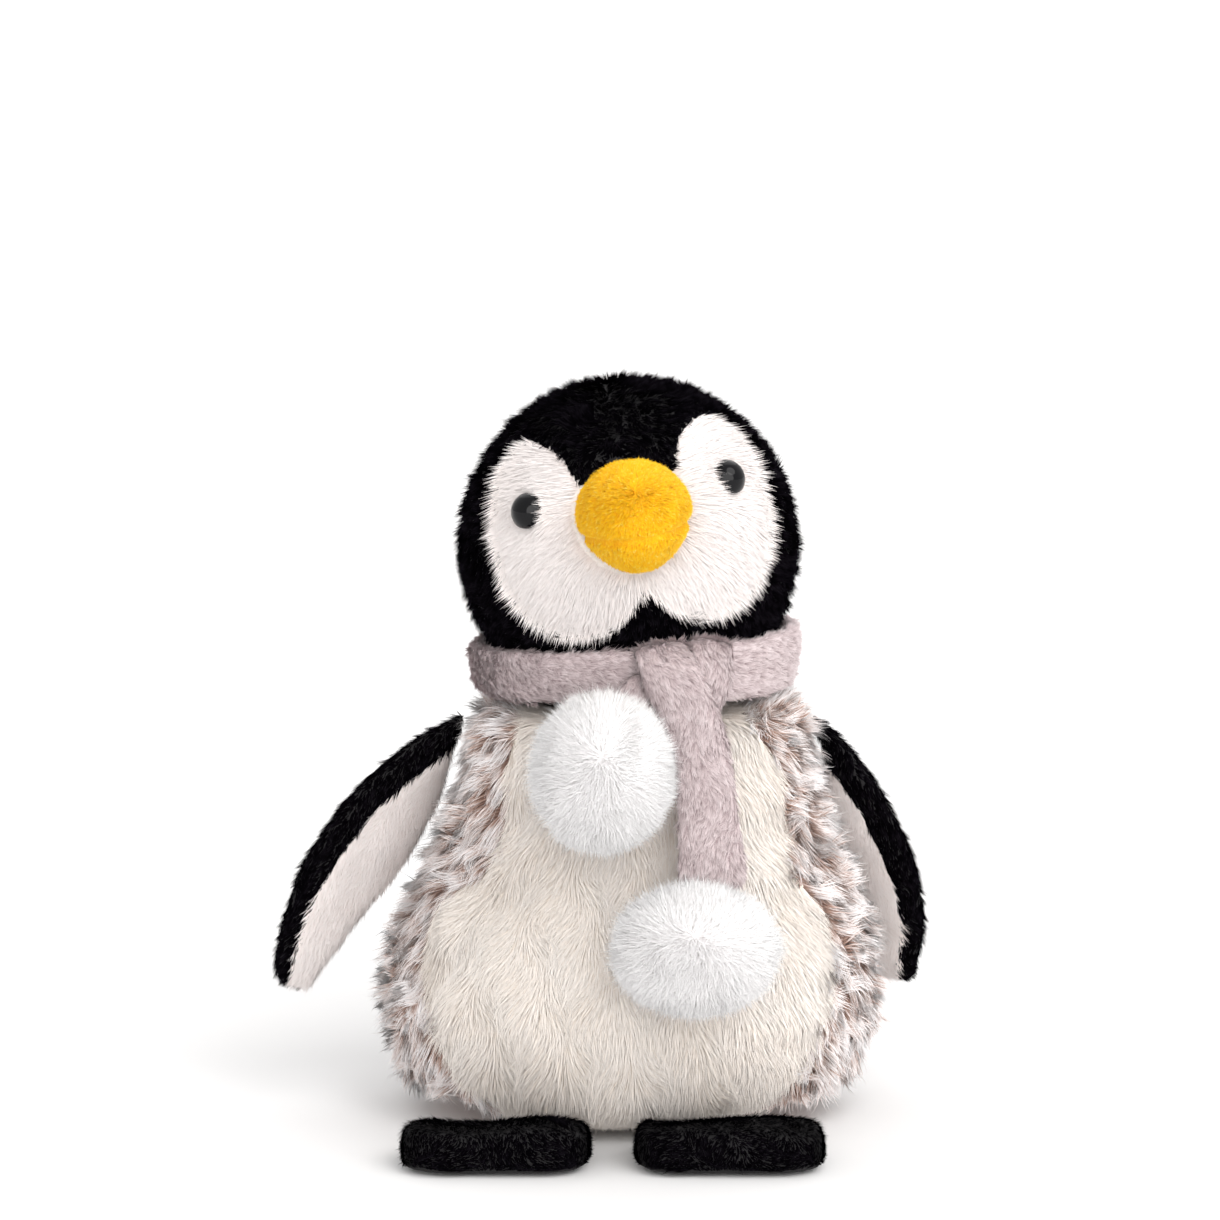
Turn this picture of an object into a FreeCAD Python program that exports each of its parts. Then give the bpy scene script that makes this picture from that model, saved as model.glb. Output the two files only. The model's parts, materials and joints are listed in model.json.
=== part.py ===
import FreeCAD, Part
import Sketcher
import math
import os

# A standing plush penguin with a scarf. Millimetres, +Z up, the face looks along -Y, and the
# origin is the centre of the flat base. "left" is the penguin's own left, which is +X.

SIZES = {
    # neck: the point that the head turns about, and the spaces round it
    "neck_shift": 0.3,
    "neck_height": 191.5,
    "neck_opening_depth": 45,
    "scarf_gap": 1.0,
    "socket_gap": 3.8,
    "seam_gap": 0.3,
    "stuffing_gap": 1.0,
    # head
    "head_radius": 56.5,
    "head_cover": 4,
    "head_roll": 9,
    "head_yaw": 4.8,
    "patch_across": 26,
    "patch_height": 10,
    "patch_long_radius": 36,
    "patch_short_radius": 24,
    "patch_lean": 6,
    "chin_width": 60,
    # beak
    "beak_height": 14.9,
    "beak_seam_height": 12.6,
    "beak_half_width": 19.8,
    "beak_half_height": 18.6,
    "beak_length": 42,
    "beak_cover": 2,
    # eyes
    "eye_across": 33.6,
    "eye_height": 21.7,
    "eye_radius": 6,
    "eye_dome": 4,
    "eye_rim": 1,
    "shank_radius": 1.5,
    "shank_fit": 0.05,
    "shank_length": 12,
    "washer_radius": 5.5,
    "washer_depth": 5,
    "washer_thickness": 1.5,
    # neck pieces
    "plug_radius": 24,
    "plug_base": 120,
    "drawstring_radius": 24,
    "drawstring_thickness": 2.2,
    # body
    "lean": 5,
    "body_cover": 4,
    "base_thickness": 3,
    "wing_clearance": 0.6,
    "bib_shift": 4,
    "bib_height": 106,
    "bib_half_width": 45,
    "bib_half_height": 47,
    "belly_patch_height": 53,
    "belly_patch_half_width": 67.5,
    "belly_patch_half_height": 45,
    "pellet_height": 27,
    "pellet_half_width": 50,
    "pellet_half_depth": 40,
    "pellet_half_height": 20,
    "bag_thickness": 1,
    # wings
    "wing_length": 116,
    "wing_bulge_radius": 90,
    "wing_root_width": 20,
    "wing_root_drop": 14,
    "wing_tip_width": 16,
    "wing_thickness": 9,
    "wing_cover": 2,
    "wing_edge_band": 9,
    "wing_root_band": 15,
    "wing_rounding": 3.8,
    "wing_turn": 35,
    "wing_root_height": 137,
    "wing_root_depth": 4,
    "wing_root_outset": 2.5,
    "wing_left_spread": 19,
    "wing_left_sweep": 20,
    "wing_right_spread": 36,
    "wing_right_sweep": 0,
    # feet
    "foot_shift": -4.8,
    "foot_spacing": 75.5,
    "foot_width": 62,
    "foot_front": 98,
    "foot_rear": 57,
    "foot_thickness": 16,
    "foot_rear_thickness": 3,
    "foot_slope_length": 21,
    "foot_corner": 13,
    "foot_rounding": 4.5,
    "foot_cover": 2,
    "sole_thickness": 1.5,
    # scarf
    "scarf_shift": 2.5,
    "scarf_bottom": 144,
    "scarf_width": 21,
    "scarf_low_radius": 53,
    "scarf_high_radius": 55,
    "scarf_thickness": 6,
    "knot_left": 30,
    "knot_right": 3,
    "knot_bottom": 149,
    "knot_height": 17,
    "knot_front": 61.5,
    "knot_rounding": 2.5,
    "tail_width": 19,
    "tail_thickness": 5,
    "tail_rounding": 2.25,
    # pompoms
    "pompom_cover": 7,
}

# the fur's outside, from the base up: height, half width and half depth
STATIONS = {
    "base": (0, 66, 52),
    "hem": (10, 77, 62),
    "belly": (48, 87, 73),
    "hip": (71, 81, 69),
    "waist": (95, 70, 61),
    "chest": (120, 62, 54.5),
    "shoulder": (143.5, 51, 47),
}

# the top hinge of each tail (across, front, height), its length, how far it leans forward, and
# the radius that it is bent to
TAILS = {
    "long": {"top": (25.5, 58.5, 146), "length": 56.8, "tilt": 15.2, "bend": 200},
    "short": {"top": (0, 58.5, 146), "length": 12.6, "tilt": -18, "bend": 200},
}

# the middle of each pompom, as across, front and height, then its half sizes in X, Y and Z
POMPOMS = {
    "long": {"middle": (21.5, 88.5, 72.5), "half": (27, 19.5, 21)},
    "short": {"middle": (-8.2, 81.5, 128.5), "half": (22.5, 22, 25.5)},
}

SIDES = {"left": 1, "right": -1}
FAR = 400  # longer than the penguin in every direction
TOUCH = 0.01  # how near an edge has to lie to a face to belong to it
UP = FreeCAD.Vector(0, 0, 1)

doc = FreeCAD.newDocument("penguin")
sheet = doc.addObject("Spreadsheet::Sheet", "Sizes")


def fill_sheet():
    """Writes every driving dimension to a cell with an alias."""
    cells = dict(SIZES)
    for station, (height, width, depth) in STATIONS.items():
        cells[station + "_height"] = height
        cells[station + "_half_width"] = width
        cells[station + "_half_depth"] = depth
    for kind, tail in TAILS.items():
        for axis, number in zip(("across", "front", "height"), tail["top"]):
            cells[f"{kind}_tail_{axis}"] = number
        for size in ("length", "tilt", "bend"):
            cells[f"{kind}_tail_{size}"] = tail[size]
    for kind, pompom in POMPOMS.items():
        for axis, number in zip(("across", "front", "height"), pompom["middle"]):
            cells[f"{kind}_pompom_{axis}"] = number
        for axis, number in zip(("x", "y", "z"), pompom["half"]):
            cells[f"{kind}_pompom_half_{axis}"] = number
    for row, (name, number) in enumerate(cells.items(), 1):
        sheet.set(f"A{row}", name)
        sheet.set(f"B{row}", str(number))
        sheet.setAlias(f"B{row}", name)
    doc.recompute()


def formula(text):
    """Turns a formula of plain size names into one that reads the sheet."""
    words = text.replace("(", " ( ").replace(")", " ) ").split()
    return " ".join(f"Sizes.{w}" if w[0].isalpha() else w for w in words)


def value(text):
    """The number that a formula of size names gives now."""
    return float(sheet.evalExpression(formula(text)))


def bind(obj, sizes):
    """Binds properties of an object to formulas of size names."""
    for prop, text in sizes.items():
        obj.setExpression(prop, formula(text))
    return obj


def primitive(kind, name, sizes):
    """A Part primitive such as Sphere or Box, with its properties bound."""
    return bind(doc.addObject(f"Part::{kind}", name), sizes)


def combine(kind, name, base, tool):
    """A Cut, Common or Fuse of two objects."""
    result = doc.addObject(f"Part::{kind}", name)
    result.Base = base
    result.Tool = tool
    return result


def cut(name, base, *tools):
    """The base with every tool taken away, in order."""
    for count, tool in enumerate(tools, 1):
        label = name if count == len(tools) else f"{name}_cut_{count}"
        base = combine("Cut", label, base, tool)
    return base


def common(name, base, tool):
    """What two objects share."""
    return combine("Common", name, base, tool)


def slab(name, low, high):
    """A fixed box between two corners, used to divide pieces."""
    box = doc.addObject("Part::Box", name)
    box.Length, box.Width, box.Height = (b - a for a, b in zip(low, high))
    box.Placement.Base = FreeCAD.Vector(*low)
    return box


def half_space(name, side):
    """Everything on one side of the middle plane, X above or below 0."""
    low = (0, -FAR, -FAR) if side > 0 else (-FAR, -FAR, -FAR)
    high = (FAR, FAR, FAR) if side > 0 else (0, FAR, FAR)
    return slab(name, low, high)


# ---------------------------------------------------------------- sketches

def origin_plane(body, role):
    """One of a body's own origin planes."""
    return next(f for f in body.Origin.OriginFeatures if f.Role == role)


def new_sketch(body, name, role):
    """An empty sketch on one of a body's origin planes."""
    sketch = body.newObject("Sketcher::SketchObject", name)
    sketch.AttachmentSupport = (origin_plane(body, role), [""])
    sketch.MapMode = "FlatFace"
    return sketch


def arc_between(start, end, radius, way):
    """The short arc from start to end; way is 1 to bulge right of the way there, -1 left."""
    half = (end - start) / 2
    sagitta = radius - math.sqrt(radius**2 - half.Length**2)
    right = FreeCAD.Vector(half.y, -half.x, 0).normalize()
    return Part.Arc(start, start + half + right * way * sagitta, end)


def constrain(sketch, kind, size, *where):
    """A driving constraint bound to a formula of size names."""
    index = sketch.addConstraint(Sketcher.Constraint(kind, *where, value(size)))
    sketch.setExpression(f"Constraints[{index}]", formula(size))


def vertex_at(sketch, edge, point):
    """1 or 2: the end of an edge that lies at a point. An arc may run either way."""
    return 1 if sketch.getPoint(edge, 1).distanceToPoint(point) < TOUCH else 2


def draw_outline(sketch, corners, radii):
    """A closed outline through corners; radii gives an arc edge's radius and way, by number."""
    points = [FreeCAD.Vector(value(x), value(y), 0) for x, y in corners]
    ends = points[1:] + points[:1]
    for edge, (start, end) in enumerate(zip(points, ends)):
        curve = Part.LineSegment(start, end)
        if edge in radii:
            radius, way = radii[edge]
            curve = arc_between(start, end, value(radius), way)
        sketch.addGeometry(curve)
    for edge, (start, end) in enumerate(zip(points, ends)):
        after = (edge + 1) % len(points)
        this_end, next_start = vertex_at(sketch, edge, end), vertex_at(sketch, after, end)
        sketch.addConstraint(Sketcher.Constraint("Coincident", edge, this_end, after, next_start))
    for edge, (x, y) in enumerate(corners):
        vertex = vertex_at(sketch, edge, points[edge])
        constrain(sketch, "DistanceX", x, -1, 1, edge, vertex)
        constrain(sketch, "DistanceY", y, -1, 1, edge, vertex)
    for edge, (radius, _) in radii.items():
        constrain(sketch, "Radius", radius, edge)


def pad_body(name, role, corners, radii, length, centred):
    """A PartDesign body: one outline padded to a thickness."""
    body = doc.addObject("PartDesign::Body", name)
    sketch = new_sketch(body, name + "_outline", role)
    draw_outline(sketch, corners, radii)
    pad = body.newObject("PartDesign::Pad", name + "_pad")
    pad.Profile = sketch
    pad.setExpression("Length", formula(length))
    pad.Midplane = centred
    sketch.Visibility = False
    doc.recompute()
    return body


def round_edges(body, radius, wanted):
    """Fillets the edges of a body's last feature that a test picks."""
    base = body.Tip
    names = [f"Edge{n}" for n, edge in enumerate(base.Shape.Edges, 1) if wanted(edge)]
    fillet = body.newObject("PartDesign::Fillet", f"{body.Name}_rounded_{len(body.Group)}")
    fillet.Base = (base, names)
    fillet.setExpression("Radius", formula(radius))
    body.Tip = fillet
    doc.recompute()


def turned_body(name, corners, radii):
    """A PartDesign body turned about its own Z axis from a half outline in X and Z."""
    body = doc.addObject("PartDesign::Body", name)
    sketch = new_sketch(body, name + "_outline", "XZ_Plane")
    draw_outline(sketch, corners, radii)
    turn = body.newObject("PartDesign::Revolution", name + "_turn")
    turn.Profile = sketch
    turn.ReferenceAxis = (sketch, ["V_Axis"])
    turn.Angle = 360
    doc.recompute()
    return body


# ---------------------------------------------------------------- places

def neck_point():
    """The point that the head turns about."""
    return FreeCAD.Vector(value("neck_shift"), 0, value("neck_height"))


def head_pose():
    """The head's own frame: its middle at the neck point, turned and tilted as it rests."""
    roll = FreeCAD.Rotation(FreeCAD.Vector(0, 1, 0), -value("head_roll"))
    yaw = FreeCAD.Rotation(UP, value("head_yaw"))
    return FreeCAD.Placement(neck_point(), roll * yaw)


def eye_pose(side):
    """In the head's frame: the middle of an eye on the head's surface, with +Z outward."""
    across, height = side * value("eye_across"), value("eye_height")
    depth = math.sqrt(value("head_radius") ** 2 - across**2 - height**2)
    place = FreeCAD.Vector(across, -depth, height)
    return FreeCAD.Placement(place, FreeCAD.Rotation(UP, place))


def wing_pose(side, name):
    """A wing's own frame: the top of its leading edge at the shoulder, +X along the chord."""
    height = value("wing_root_height")
    middle = value("lean") * height / value("shoulder_height")
    share = value("( wing_root_height - chest_height ) / ( shoulder_height - chest_height )")
    narrowing = share * value("chest_half_width - shoulder_half_width")
    reach = value("chest_half_width + wing_root_outset") - narrowing
    turn = FreeCAD.Rotation(UP, -side * value("wing_turn"))
    spread = FreeCAD.Rotation(FreeCAD.Vector(0, 1, 0), -side * value(f"wing_{name}_spread"))
    sweep = FreeCAD.Rotation(FreeCAD.Vector(1, 0, 0), value(f"wing_{name}_sweep"))
    place = FreeCAD.Vector(middle + side * reach, value("wing_root_depth"), height)
    return FreeCAD.Placement(place, sweep * spread * turn)


# ---------------------------------------------------------------- body

def pear(name, grow, floor="0", roof="0"):
    """The body's outer shape, grown or shrunk sideways, from a raised floor to a lowered roof."""
    sections = []
    for station in STATIONS:
        height = f"{station}_height"
        lift = {"base": f" + ( {floor} )", "shoulder": f" - ( {roof} )"}.get(station, "")
        sections.append(primitive("Ellipse", f"{name}_{station}", {
            "MajorRadius": f"{station}_half_width + ( {grow} )",
            "MinorRadius": f"{station}_half_depth + ( {grow} )",
            "Placement.Base.x": f"lean * {height} / shoulder_height",
            "Placement.Base.z": height + lift,
        }))
    loft = doc.addObject("Part::Loft", name)
    loft.Sections = sections
    loft.Solid = True
    return loft


def ellipse_prism(name, half_wide, half_tall, x, z, lean_degrees=0):
    """An upright ellipse in X and Z, carried forward along -Y from the middle."""
    tall = value(half_tall) > value(half_wide)
    major, minor = (half_tall, half_wide) if tall else (half_wide, half_tall)
    ellipse = primitive("Ellipse", name + "_outline", {"MajorRadius": major, "MinorRadius": minor})
    upright = FreeCAD.Rotation(FreeCAD.Vector(1, 0, 0), 90)
    tilt = FreeCAD.Rotation(UP, (90 if tall else 0) - lean_degrees)
    ellipse.Placement = FreeCAD.Placement(FreeCAD.Vector(x, 0, z), upright * tilt)
    prism = doc.addObject("Part::Extrusion", name)
    prism.Base = ellipse
    prism.DirMode = "Custom"
    prism.Dir = FreeCAD.Vector(0, -1, 0)
    prism.LengthFwd = FAR / 2
    prism.Solid = True
    return prism


def neck_sphere(name, radius):
    """A sphere about the neck point: the head can turn inside it."""
    ball = primitive("Sphere", name, {"Radius": radius})
    ball.Placement.Base = neck_point()
    return ball


def make_torso_tools():
    """The shapes that the torso's pieces are divided by."""
    return {
        "socket": neck_sphere("neck_socket", "head_radius + socket_gap"),
        "scarf_room": neck_sphere("scarf_room", "head_radius + scarf_gap"),
        "clearance": pear("body_clearance", "wing_clearance", roof="0 - 1"),
    }


def make_covers(tools):
    """The fur sides, the cream bib and the flat base, as one shell divided by its seams."""
    outer = pear("fur_outside", "0")
    inner = pear("fur_inside", "0 - body_cover", "base_thickness", "base_thickness")
    shell = cut("fur_shell", outer, inner, tools["socket"])
    floor = slab("floor_slab", (-FAR, -FAR, -1), (FAR, FAR, value("base_thickness")))
    base_panel = common("base_panel", shell, floor)
    upper = cut("fur_upper", shell, floor)
    bib = ellipse_prism("bib_top", "bib_half_width", "bib_half_height",
                        value("bib_shift"), value("bib_height"))
    lobe = ellipse_prism("bib_lobe", "belly_patch_half_width", "belly_patch_half_height",
                         0, value("belly_patch_height"))
    bib_outline = combine("Fuse", "bib_outline", bib, lobe)
    belly_panel = common("belly_panel", upper, bib_outline)
    sides = cut("fur_sides", upper, bib_outline)
    pieces = [base_panel, belly_panel]
    for name, side in SIDES.items():
        pieces.append(common(f"body_side_{name}", sides, half_space(f"{name}_half", side)))
    return pieces


def pellet_shape(name, shrink):
    """The pellet bag's outside, or a smaller copy of it."""
    bag = primitive("Ellipsoid", name, {
        "Radius1": f"pellet_half_height - ( {shrink} )",
        "Radius2": f"pellet_half_width - ( {shrink} )",
        "Radius3": f"pellet_half_depth - ( {shrink} )",
    })
    bag.Placement.Base.z = value("pellet_height")
    return bag


def plug_cylinder(name, gap):
    """The upright cylinder of the neck stuffing, or the slightly wider hole for it."""
    cylinder = primitive("Cylinder", name, {
        "Radius": f"plug_radius + {gap}",
        "Height": f"neck_height - plug_base + {gap}",
        "Placement.Base.x": "neck_shift",
        "Placement.Base.z": f"plug_base - {gap}",
    })
    return cylinder


def make_fillings(tools):
    """The torso's stuffing, the pellet bag and pellets in it, and the neck's soft plug."""
    inside = pear("stuffing_outside", "0 - body_cover - stuffing_gap",
                  "base_thickness + stuffing_gap", "base_thickness + stuffing_gap")
    hole = plug_cylinder("plug_hole", "seam_gap")
    room = pellet_shape("pellet_room", "0 - seam_gap")
    stuffing = cut("body_stuffing", inside, tools["socket"], hole, room)
    bag_inside = pellet_shape("pellet_bag_inside", "bag_thickness")
    bag = cut("pellet_bag", pellet_shape("pellet_bag_outside", "0"), bag_inside)
    pellets = pellet_shape("pellets", "( bag_thickness + seam_gap )")
    plug = cut("neck_stuffing", plug_cylinder("plug_outside", "0"), tools["socket"])
    return [stuffing, bag, pellets, plug]


def make_drawstring():
    """The gathering thread, midway in the thin space between the head and its socket."""
    ring = primitive("Torus", "neck_drawstring", {
        "Radius1": "drawstring_radius",
        "Radius2": "drawstring_thickness / 2",
    })
    reach = value("head_radius + socket_gap / 2")
    drop = math.sqrt(reach**2 - value("drawstring_radius") ** 2)
    ring.Placement.Base = neck_point() - UP * drop
    return [ring]


# ---------------------------------------------------------------- head, in its own frame

def make_beak(skull):
    """The two velour halves and their stuffing, seated in the front of the head."""
    def egg(name, shrink):
        shape = primitive("Ellipsoid", name, {
            "Radius1": f"beak_half_height - ( {shrink} )",
            "Radius2": f"beak_half_width - ( {shrink} )",
            "Radius3": f"beak_length - ( {shrink} )",
        })
        shape.Placement.Base = FreeCAD.Vector(0, -value("beak_length"), value("beak_height"))
        return shape

    outside = egg("beak_outside", "0")
    cover = cut("beak_cover_shell", outside, egg("beak_inside", "beak_cover"), skull)
    seam = value("beak_seam_height")
    above = slab("above_beak_seam", (-FAR, -FAR, seam), (FAR, 0, FAR))
    filling_room = primitive("Sphere", "beak_filling_limit", {
        "Radius": "head_radius - head_cover + seam_gap"})
    return outside, [
        common("beak_upper", cover, above),
        cut("beak_lower", cover, above),
        cut("beak_stuffing", egg("beak_filling", "beak_cover + seam_gap"), filling_room),
    ]


def make_eye(side, name):
    """A domed eye on its shank, its lock washer, and the pocket that they both need."""
    eye = turned_body(f"eye_{name}", [
        ("0", "0 - shank_length"),
        ("shank_radius", "0 - shank_length"),
        ("shank_radius", "0 - eye_rim"),
        ("eye_radius", "0 - eye_rim"),
        ("eye_radius", "0"),
        ("0", "eye_dome"),
    ], {4: ("( eye_radius ^ 2 + eye_dome ^ 2 ) / ( 2 * eye_dome )", 1)})
    washer = primitive("Cylinder", f"washer_blank_{name}", {
        "Radius": "washer_radius", "Height": "washer_thickness"})
    bore = primitive("Cylinder", f"washer_bore_{name}", {
        "Radius": "shank_radius + shank_fit", "Height": "washer_thickness"})
    washer_ring = cut(f"eye_washer_{name}", washer, bore)
    sink = FreeCAD.Placement(UP * -value("washer_depth + washer_thickness"), FreeCAD.Rotation())
    pocket = turned_body(f"eye_pocket_{name}", [
        ("0", "0 - shank_length - seam_gap"),
        ("washer_radius + seam_gap", "0 - shank_length - seam_gap"),
        ("washer_radius + seam_gap", "0 - washer_depth"),
        ("shank_radius + shank_fit", "0 - washer_depth"),
        ("shank_radius + shank_fit", "0 - eye_rim"),
        ("eye_radius + seam_gap", "0 - eye_rim"),
        ("eye_radius + seam_gap", "eye_dome"),
        ("0", "eye_dome"),
    ], {})
    eye.Placement = eye_pose(side)
    washer_ring.Placement = eye_pose(side) * sink
    pocket.Placement = eye_pose(side)
    return eye, washer_ring, pocket


def make_head():
    """The covers, beak, eyes and stuffing, all built with the neck point as the origin."""
    ball = primitive("Sphere", "head_ball", {"Radius": "head_radius"})
    skull = primitive("Sphere", "head_inside", {"Radius": "head_radius - head_cover"})
    beak_outside, pieces = make_beak(skull)
    opening = slab("neck_opening", (-FAR, -FAR, -FAR), (FAR, FAR, -value("neck_opening_depth")))
    eyes = {name: make_eye(side, name) for name, side in SIDES.items()}
    pockets = [eye[2] for eye in eyes.values()]
    shell = cut("head_shell", ball, skull, opening, beak_outside, *pockets)
    remainder = shell
    for name, side in SIDES.items():
        prism = ellipse_prism(f"patch_prism_{name}", "patch_short_radius", "patch_long_radius",
                              side * value("patch_across"), value("patch_height"),
                              side * value("patch_lean"))
        region = common(f"patch_region_{name}", prism, half_space(f"face_half_{name}", side))
        pieces.append(common(f"face_patch_{name}", shell, region))
        remainder = cut(f"head_without_{name}_patch", remainder, region)
    half_chin = value("chin_width") / 2
    chin_box = slab("chin_box", (-half_chin, -FAR, -FAR), (half_chin, 0, 0))
    pieces.append(common("chin_panel", remainder, chin_box))
    rear = cut("head_rear", remainder, chin_box)
    for name, side in SIDES.items():
        pieces.append(common(f"head_side_{name}", rear, half_space(f"head_half_{name}", side)))
    stuffing = primitive("Sphere", "head_filling", {
        "Radius": "head_radius - head_cover - seam_gap"})
    pieces.append(cut("head_stuffing", stuffing, *pockets))
    for eye, washer, _ in eyes.values():
        pieces += [eye, washer]
    for piece in pieces:
        piece.Placement = head_pose() * piece.Placement
    return pieces


# ---------------------------------------------------------------- wings

def wing_pad(name, side, inset, bands, thickness, centred=True):
    """A flipper: a bowed leading edge, a straight trailing edge and a blunt tip.

    bands are the widths of the strip left free along the leading edge, at its root and its tip.
    """
    chord = "0 - " if side > 0 else ""
    root_band, tip_band = bands
    corners = [
        (f"{chord}( {inset} + {root_band} )", f"0 - {inset}"),
        (f"{chord}( {inset} + {tip_band} )", f"{inset} - wing_length"),
        (f"{chord}( wing_tip_width - {inset} )", f"{inset} - wing_length"),
        (f"{chord}( wing_root_width - {inset} )", f"0 - wing_root_drop - {inset}"),
    ]
    bow = {0: ("wing_bulge_radius", -side)}
    return pad_body(name, "XZ_Plane", corners, bow, thickness, centred)


def make_wing(side, name, tools):
    """The black outer panel that wraps the leading edge, the white inner one and the wadding."""
    label = f"wing_{name}"
    whole = ("0", "0")
    outside = wing_pad(label + "_outside", side, "0", whole, "wing_thickness")
    round_edges(outside, "wing_rounding", lambda edge: True)
    core = wing_pad(label + "_core", side, "wing_cover", whole, "wing_thickness - 2 * wing_cover")
    hollow = wing_pad(label + "_hollow", side, "( wing_cover - seam_gap )", whole,
                      "wing_thickness - 2 * wing_cover + 2 * seam_gap")
    bands = ("( wing_root_band + wing_cover )", "( wing_edge_band + wing_cover )")
    front = wing_pad(label + "_front", side, "( 0 - wing_cover )", bands, "wing_thickness", False)
    for blank in (outside, core, hollow, front):
        blank.Placement = wing_pose(side, name)
    shell = cut(label + "_shell", outside, hollow)
    white = common(label + "_white", shell, front)
    return [
        cut(label + "_outer", shell, front, tools["clearance"]),
        cut(label + "_inner", white, tools["clearance"]),
        cut(label + "_wadding", core, tools["clearance"]),
    ]


# ---------------------------------------------------------------- feet

def foot_pad(name, side, inset, low, high):
    """A flat pad under the belly's front edge, with rounded corners in plan."""
    corners = [
        (f"{inset} - foot_width / 2", f"{inset} - foot_front"),
        (f"foot_width / 2 - {inset}", f"{inset} - foot_front"),
        (f"foot_width / 2 - {inset}", f"0 - foot_rear - {inset}"),
        (f"{inset} - foot_width / 2", f"0 - foot_rear - {inset}"),
    ]
    body = pad_body(name, "XY_Plane", corners, {}, f"{high} - {low}", False)
    round_edges(body, f"foot_corner - {inset}", is_upright)
    body.Placement.Base = FreeCAD.Vector(
        value("foot_shift") + side * value("foot_spacing") / 2, 0, value(low))
    return body


def is_upright(edge):
    """Whether an edge runs straight along Z."""
    return len(edge.Vertexes) == 2 and abs(edge.tangentAt(edge.FirstParameter).z) > 0.99


def is_high(edge):
    """Whether an edge lies flat in the top face of a foot pad."""
    return edge.BoundBox.ZMin > value("foot_thickness") - TOUCH


def foot_slope(name, drop):
    """The wedge above a foot's rear, where the pad thins towards its seam."""
    corners = [
        ("0 - foot_rear + 1", f"foot_rear_thickness - ( {drop} )"),
        ("0 - foot_rear + 1", "foot_thickness + 1"),
        ("0 - foot_rear - foot_slope_length", "foot_thickness + 1"),
        ("0 - foot_rear - foot_slope_length", f"foot_thickness - ( {drop} )"),
    ]
    return pad_body(name, "YZ_Plane", corners, {}, "4 * foot_width", True)


def make_feet(tools):
    """Each foot's upper, its flat sole and its filling."""
    slope = foot_slope("foot_slope", "0")
    room_slope = foot_slope("foot_room_slope", "foot_cover + seam_gap")
    low_slope = foot_slope("foot_filling_slope", "foot_cover + 2 * seam_gap")
    sole_slab = slab("sole_slab", (-FAR, -FAR, -1), (FAR, FAR, value("sole_thickness")))
    pieces = []
    for name, side in SIDES.items():
        label = f"foot_{name}"
        blank = foot_pad(label + "_outside", side, "0", "0", "foot_thickness")
        round_edges(blank, "foot_rounding", is_high)
        filling = foot_pad(label + "_core", side, "foot_cover", "( sole_thickness + seam_gap )",
                           "( foot_thickness - foot_cover )")
        room = foot_pad(label + "_room", side, "( foot_cover - seam_gap )",
                        "sole_thickness", "( foot_thickness - foot_cover + seam_gap )")
        hollow = cut(label + "_hollow", room, room_slope)
        whole = cut(label + "_whole", blank, slope, tools["clearance"])
        pieces += [
            common(label + "_sole", whole, sole_slab),
            cut(label + "_upper", whole, hollow, sole_slab),
            cut(label + "_filling", filling, low_slope, tools["clearance"]),
        ]
    return pieces


# ---------------------------------------------------------------- scarf and pompoms

def scarf_cone(name, inset):
    """The scarf's outer or inner side: a band that flares a little upwards."""
    return primitive("Cone", name, {
        "Radius1": f"scarf_low_radius - ( {inset} )",
        "Radius2": f"scarf_high_radius - ( {inset} )",
        "Height": "scarf_width",
        "Placement.Base.x": "scarf_shift",
        "Placement.Base.z": "scarf_bottom",
    })


def make_scarf(tools):
    """The loop round the neck and the flap that crosses over it in front."""
    loop = cut("scarf_loop", scarf_cone("scarf_outside", "0"),
               scarf_cone("scarf_inside", "scarf_thickness"), tools["scarf_room"])
    block = primitive("Box", "crossover_block", {
        "Length": "knot_left - knot_right",
        "Width": "knot_front / 2",
        "Height": "knot_height",
        "Placement.Base.x": "knot_right",
        "Placement.Base.y": "0 - knot_front",
        "Placement.Base.z": "knot_bottom",
    })
    doc.recompute()
    soft = doc.addObject("Part::Fillet", "crossover_rounded")
    soft.Base = block
    rounding = value("knot_rounding")
    front = [n for n, edge in enumerate(block.Shape.Edges, 1)
             if edge.BoundBox.YMax < TOUCH - value("knot_front")]
    soft.Edges = [(n, rounding, rounding) for n in front]
    crossover = cut("scarf_crossover", soft, scarf_cone("crossover_room", "0 - seam_gap"),
                    tools["scarf_room"])
    return [loop, crossover]


def make_tail(kind):
    """A flat strip that hangs from its hinge, bent a little towards the belly."""
    half = "tail_thickness / 2"
    corners = [
        (f"0 - {half}", "0"),
        (f"0 - {half}", f"0 - {kind}_tail_length"),
        (half, f"0 - {kind}_tail_length"),
        (half, "0"),
    ]
    bend = {0: (f"{kind}_tail_bend", -1), 2: (f"{kind}_tail_bend", 1)}
    tail = pad_body(f"scarf_{kind}_tail", "YZ_Plane", corners, bend, "tail_width", True)
    round_edges(tail, "tail_rounding", lambda edge: True)
    hinge = FreeCAD.Vector(value(f"{kind}_tail_across"), -value(f"{kind}_tail_front"),
                           value(f"{kind}_tail_height"))
    lean = FreeCAD.Rotation(FreeCAD.Vector(1, 0, 0), -value(f"{kind}_tail_tilt"))
    tail.Placement = FreeCAD.Placement(hinge, lean)
    return tail


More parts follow.
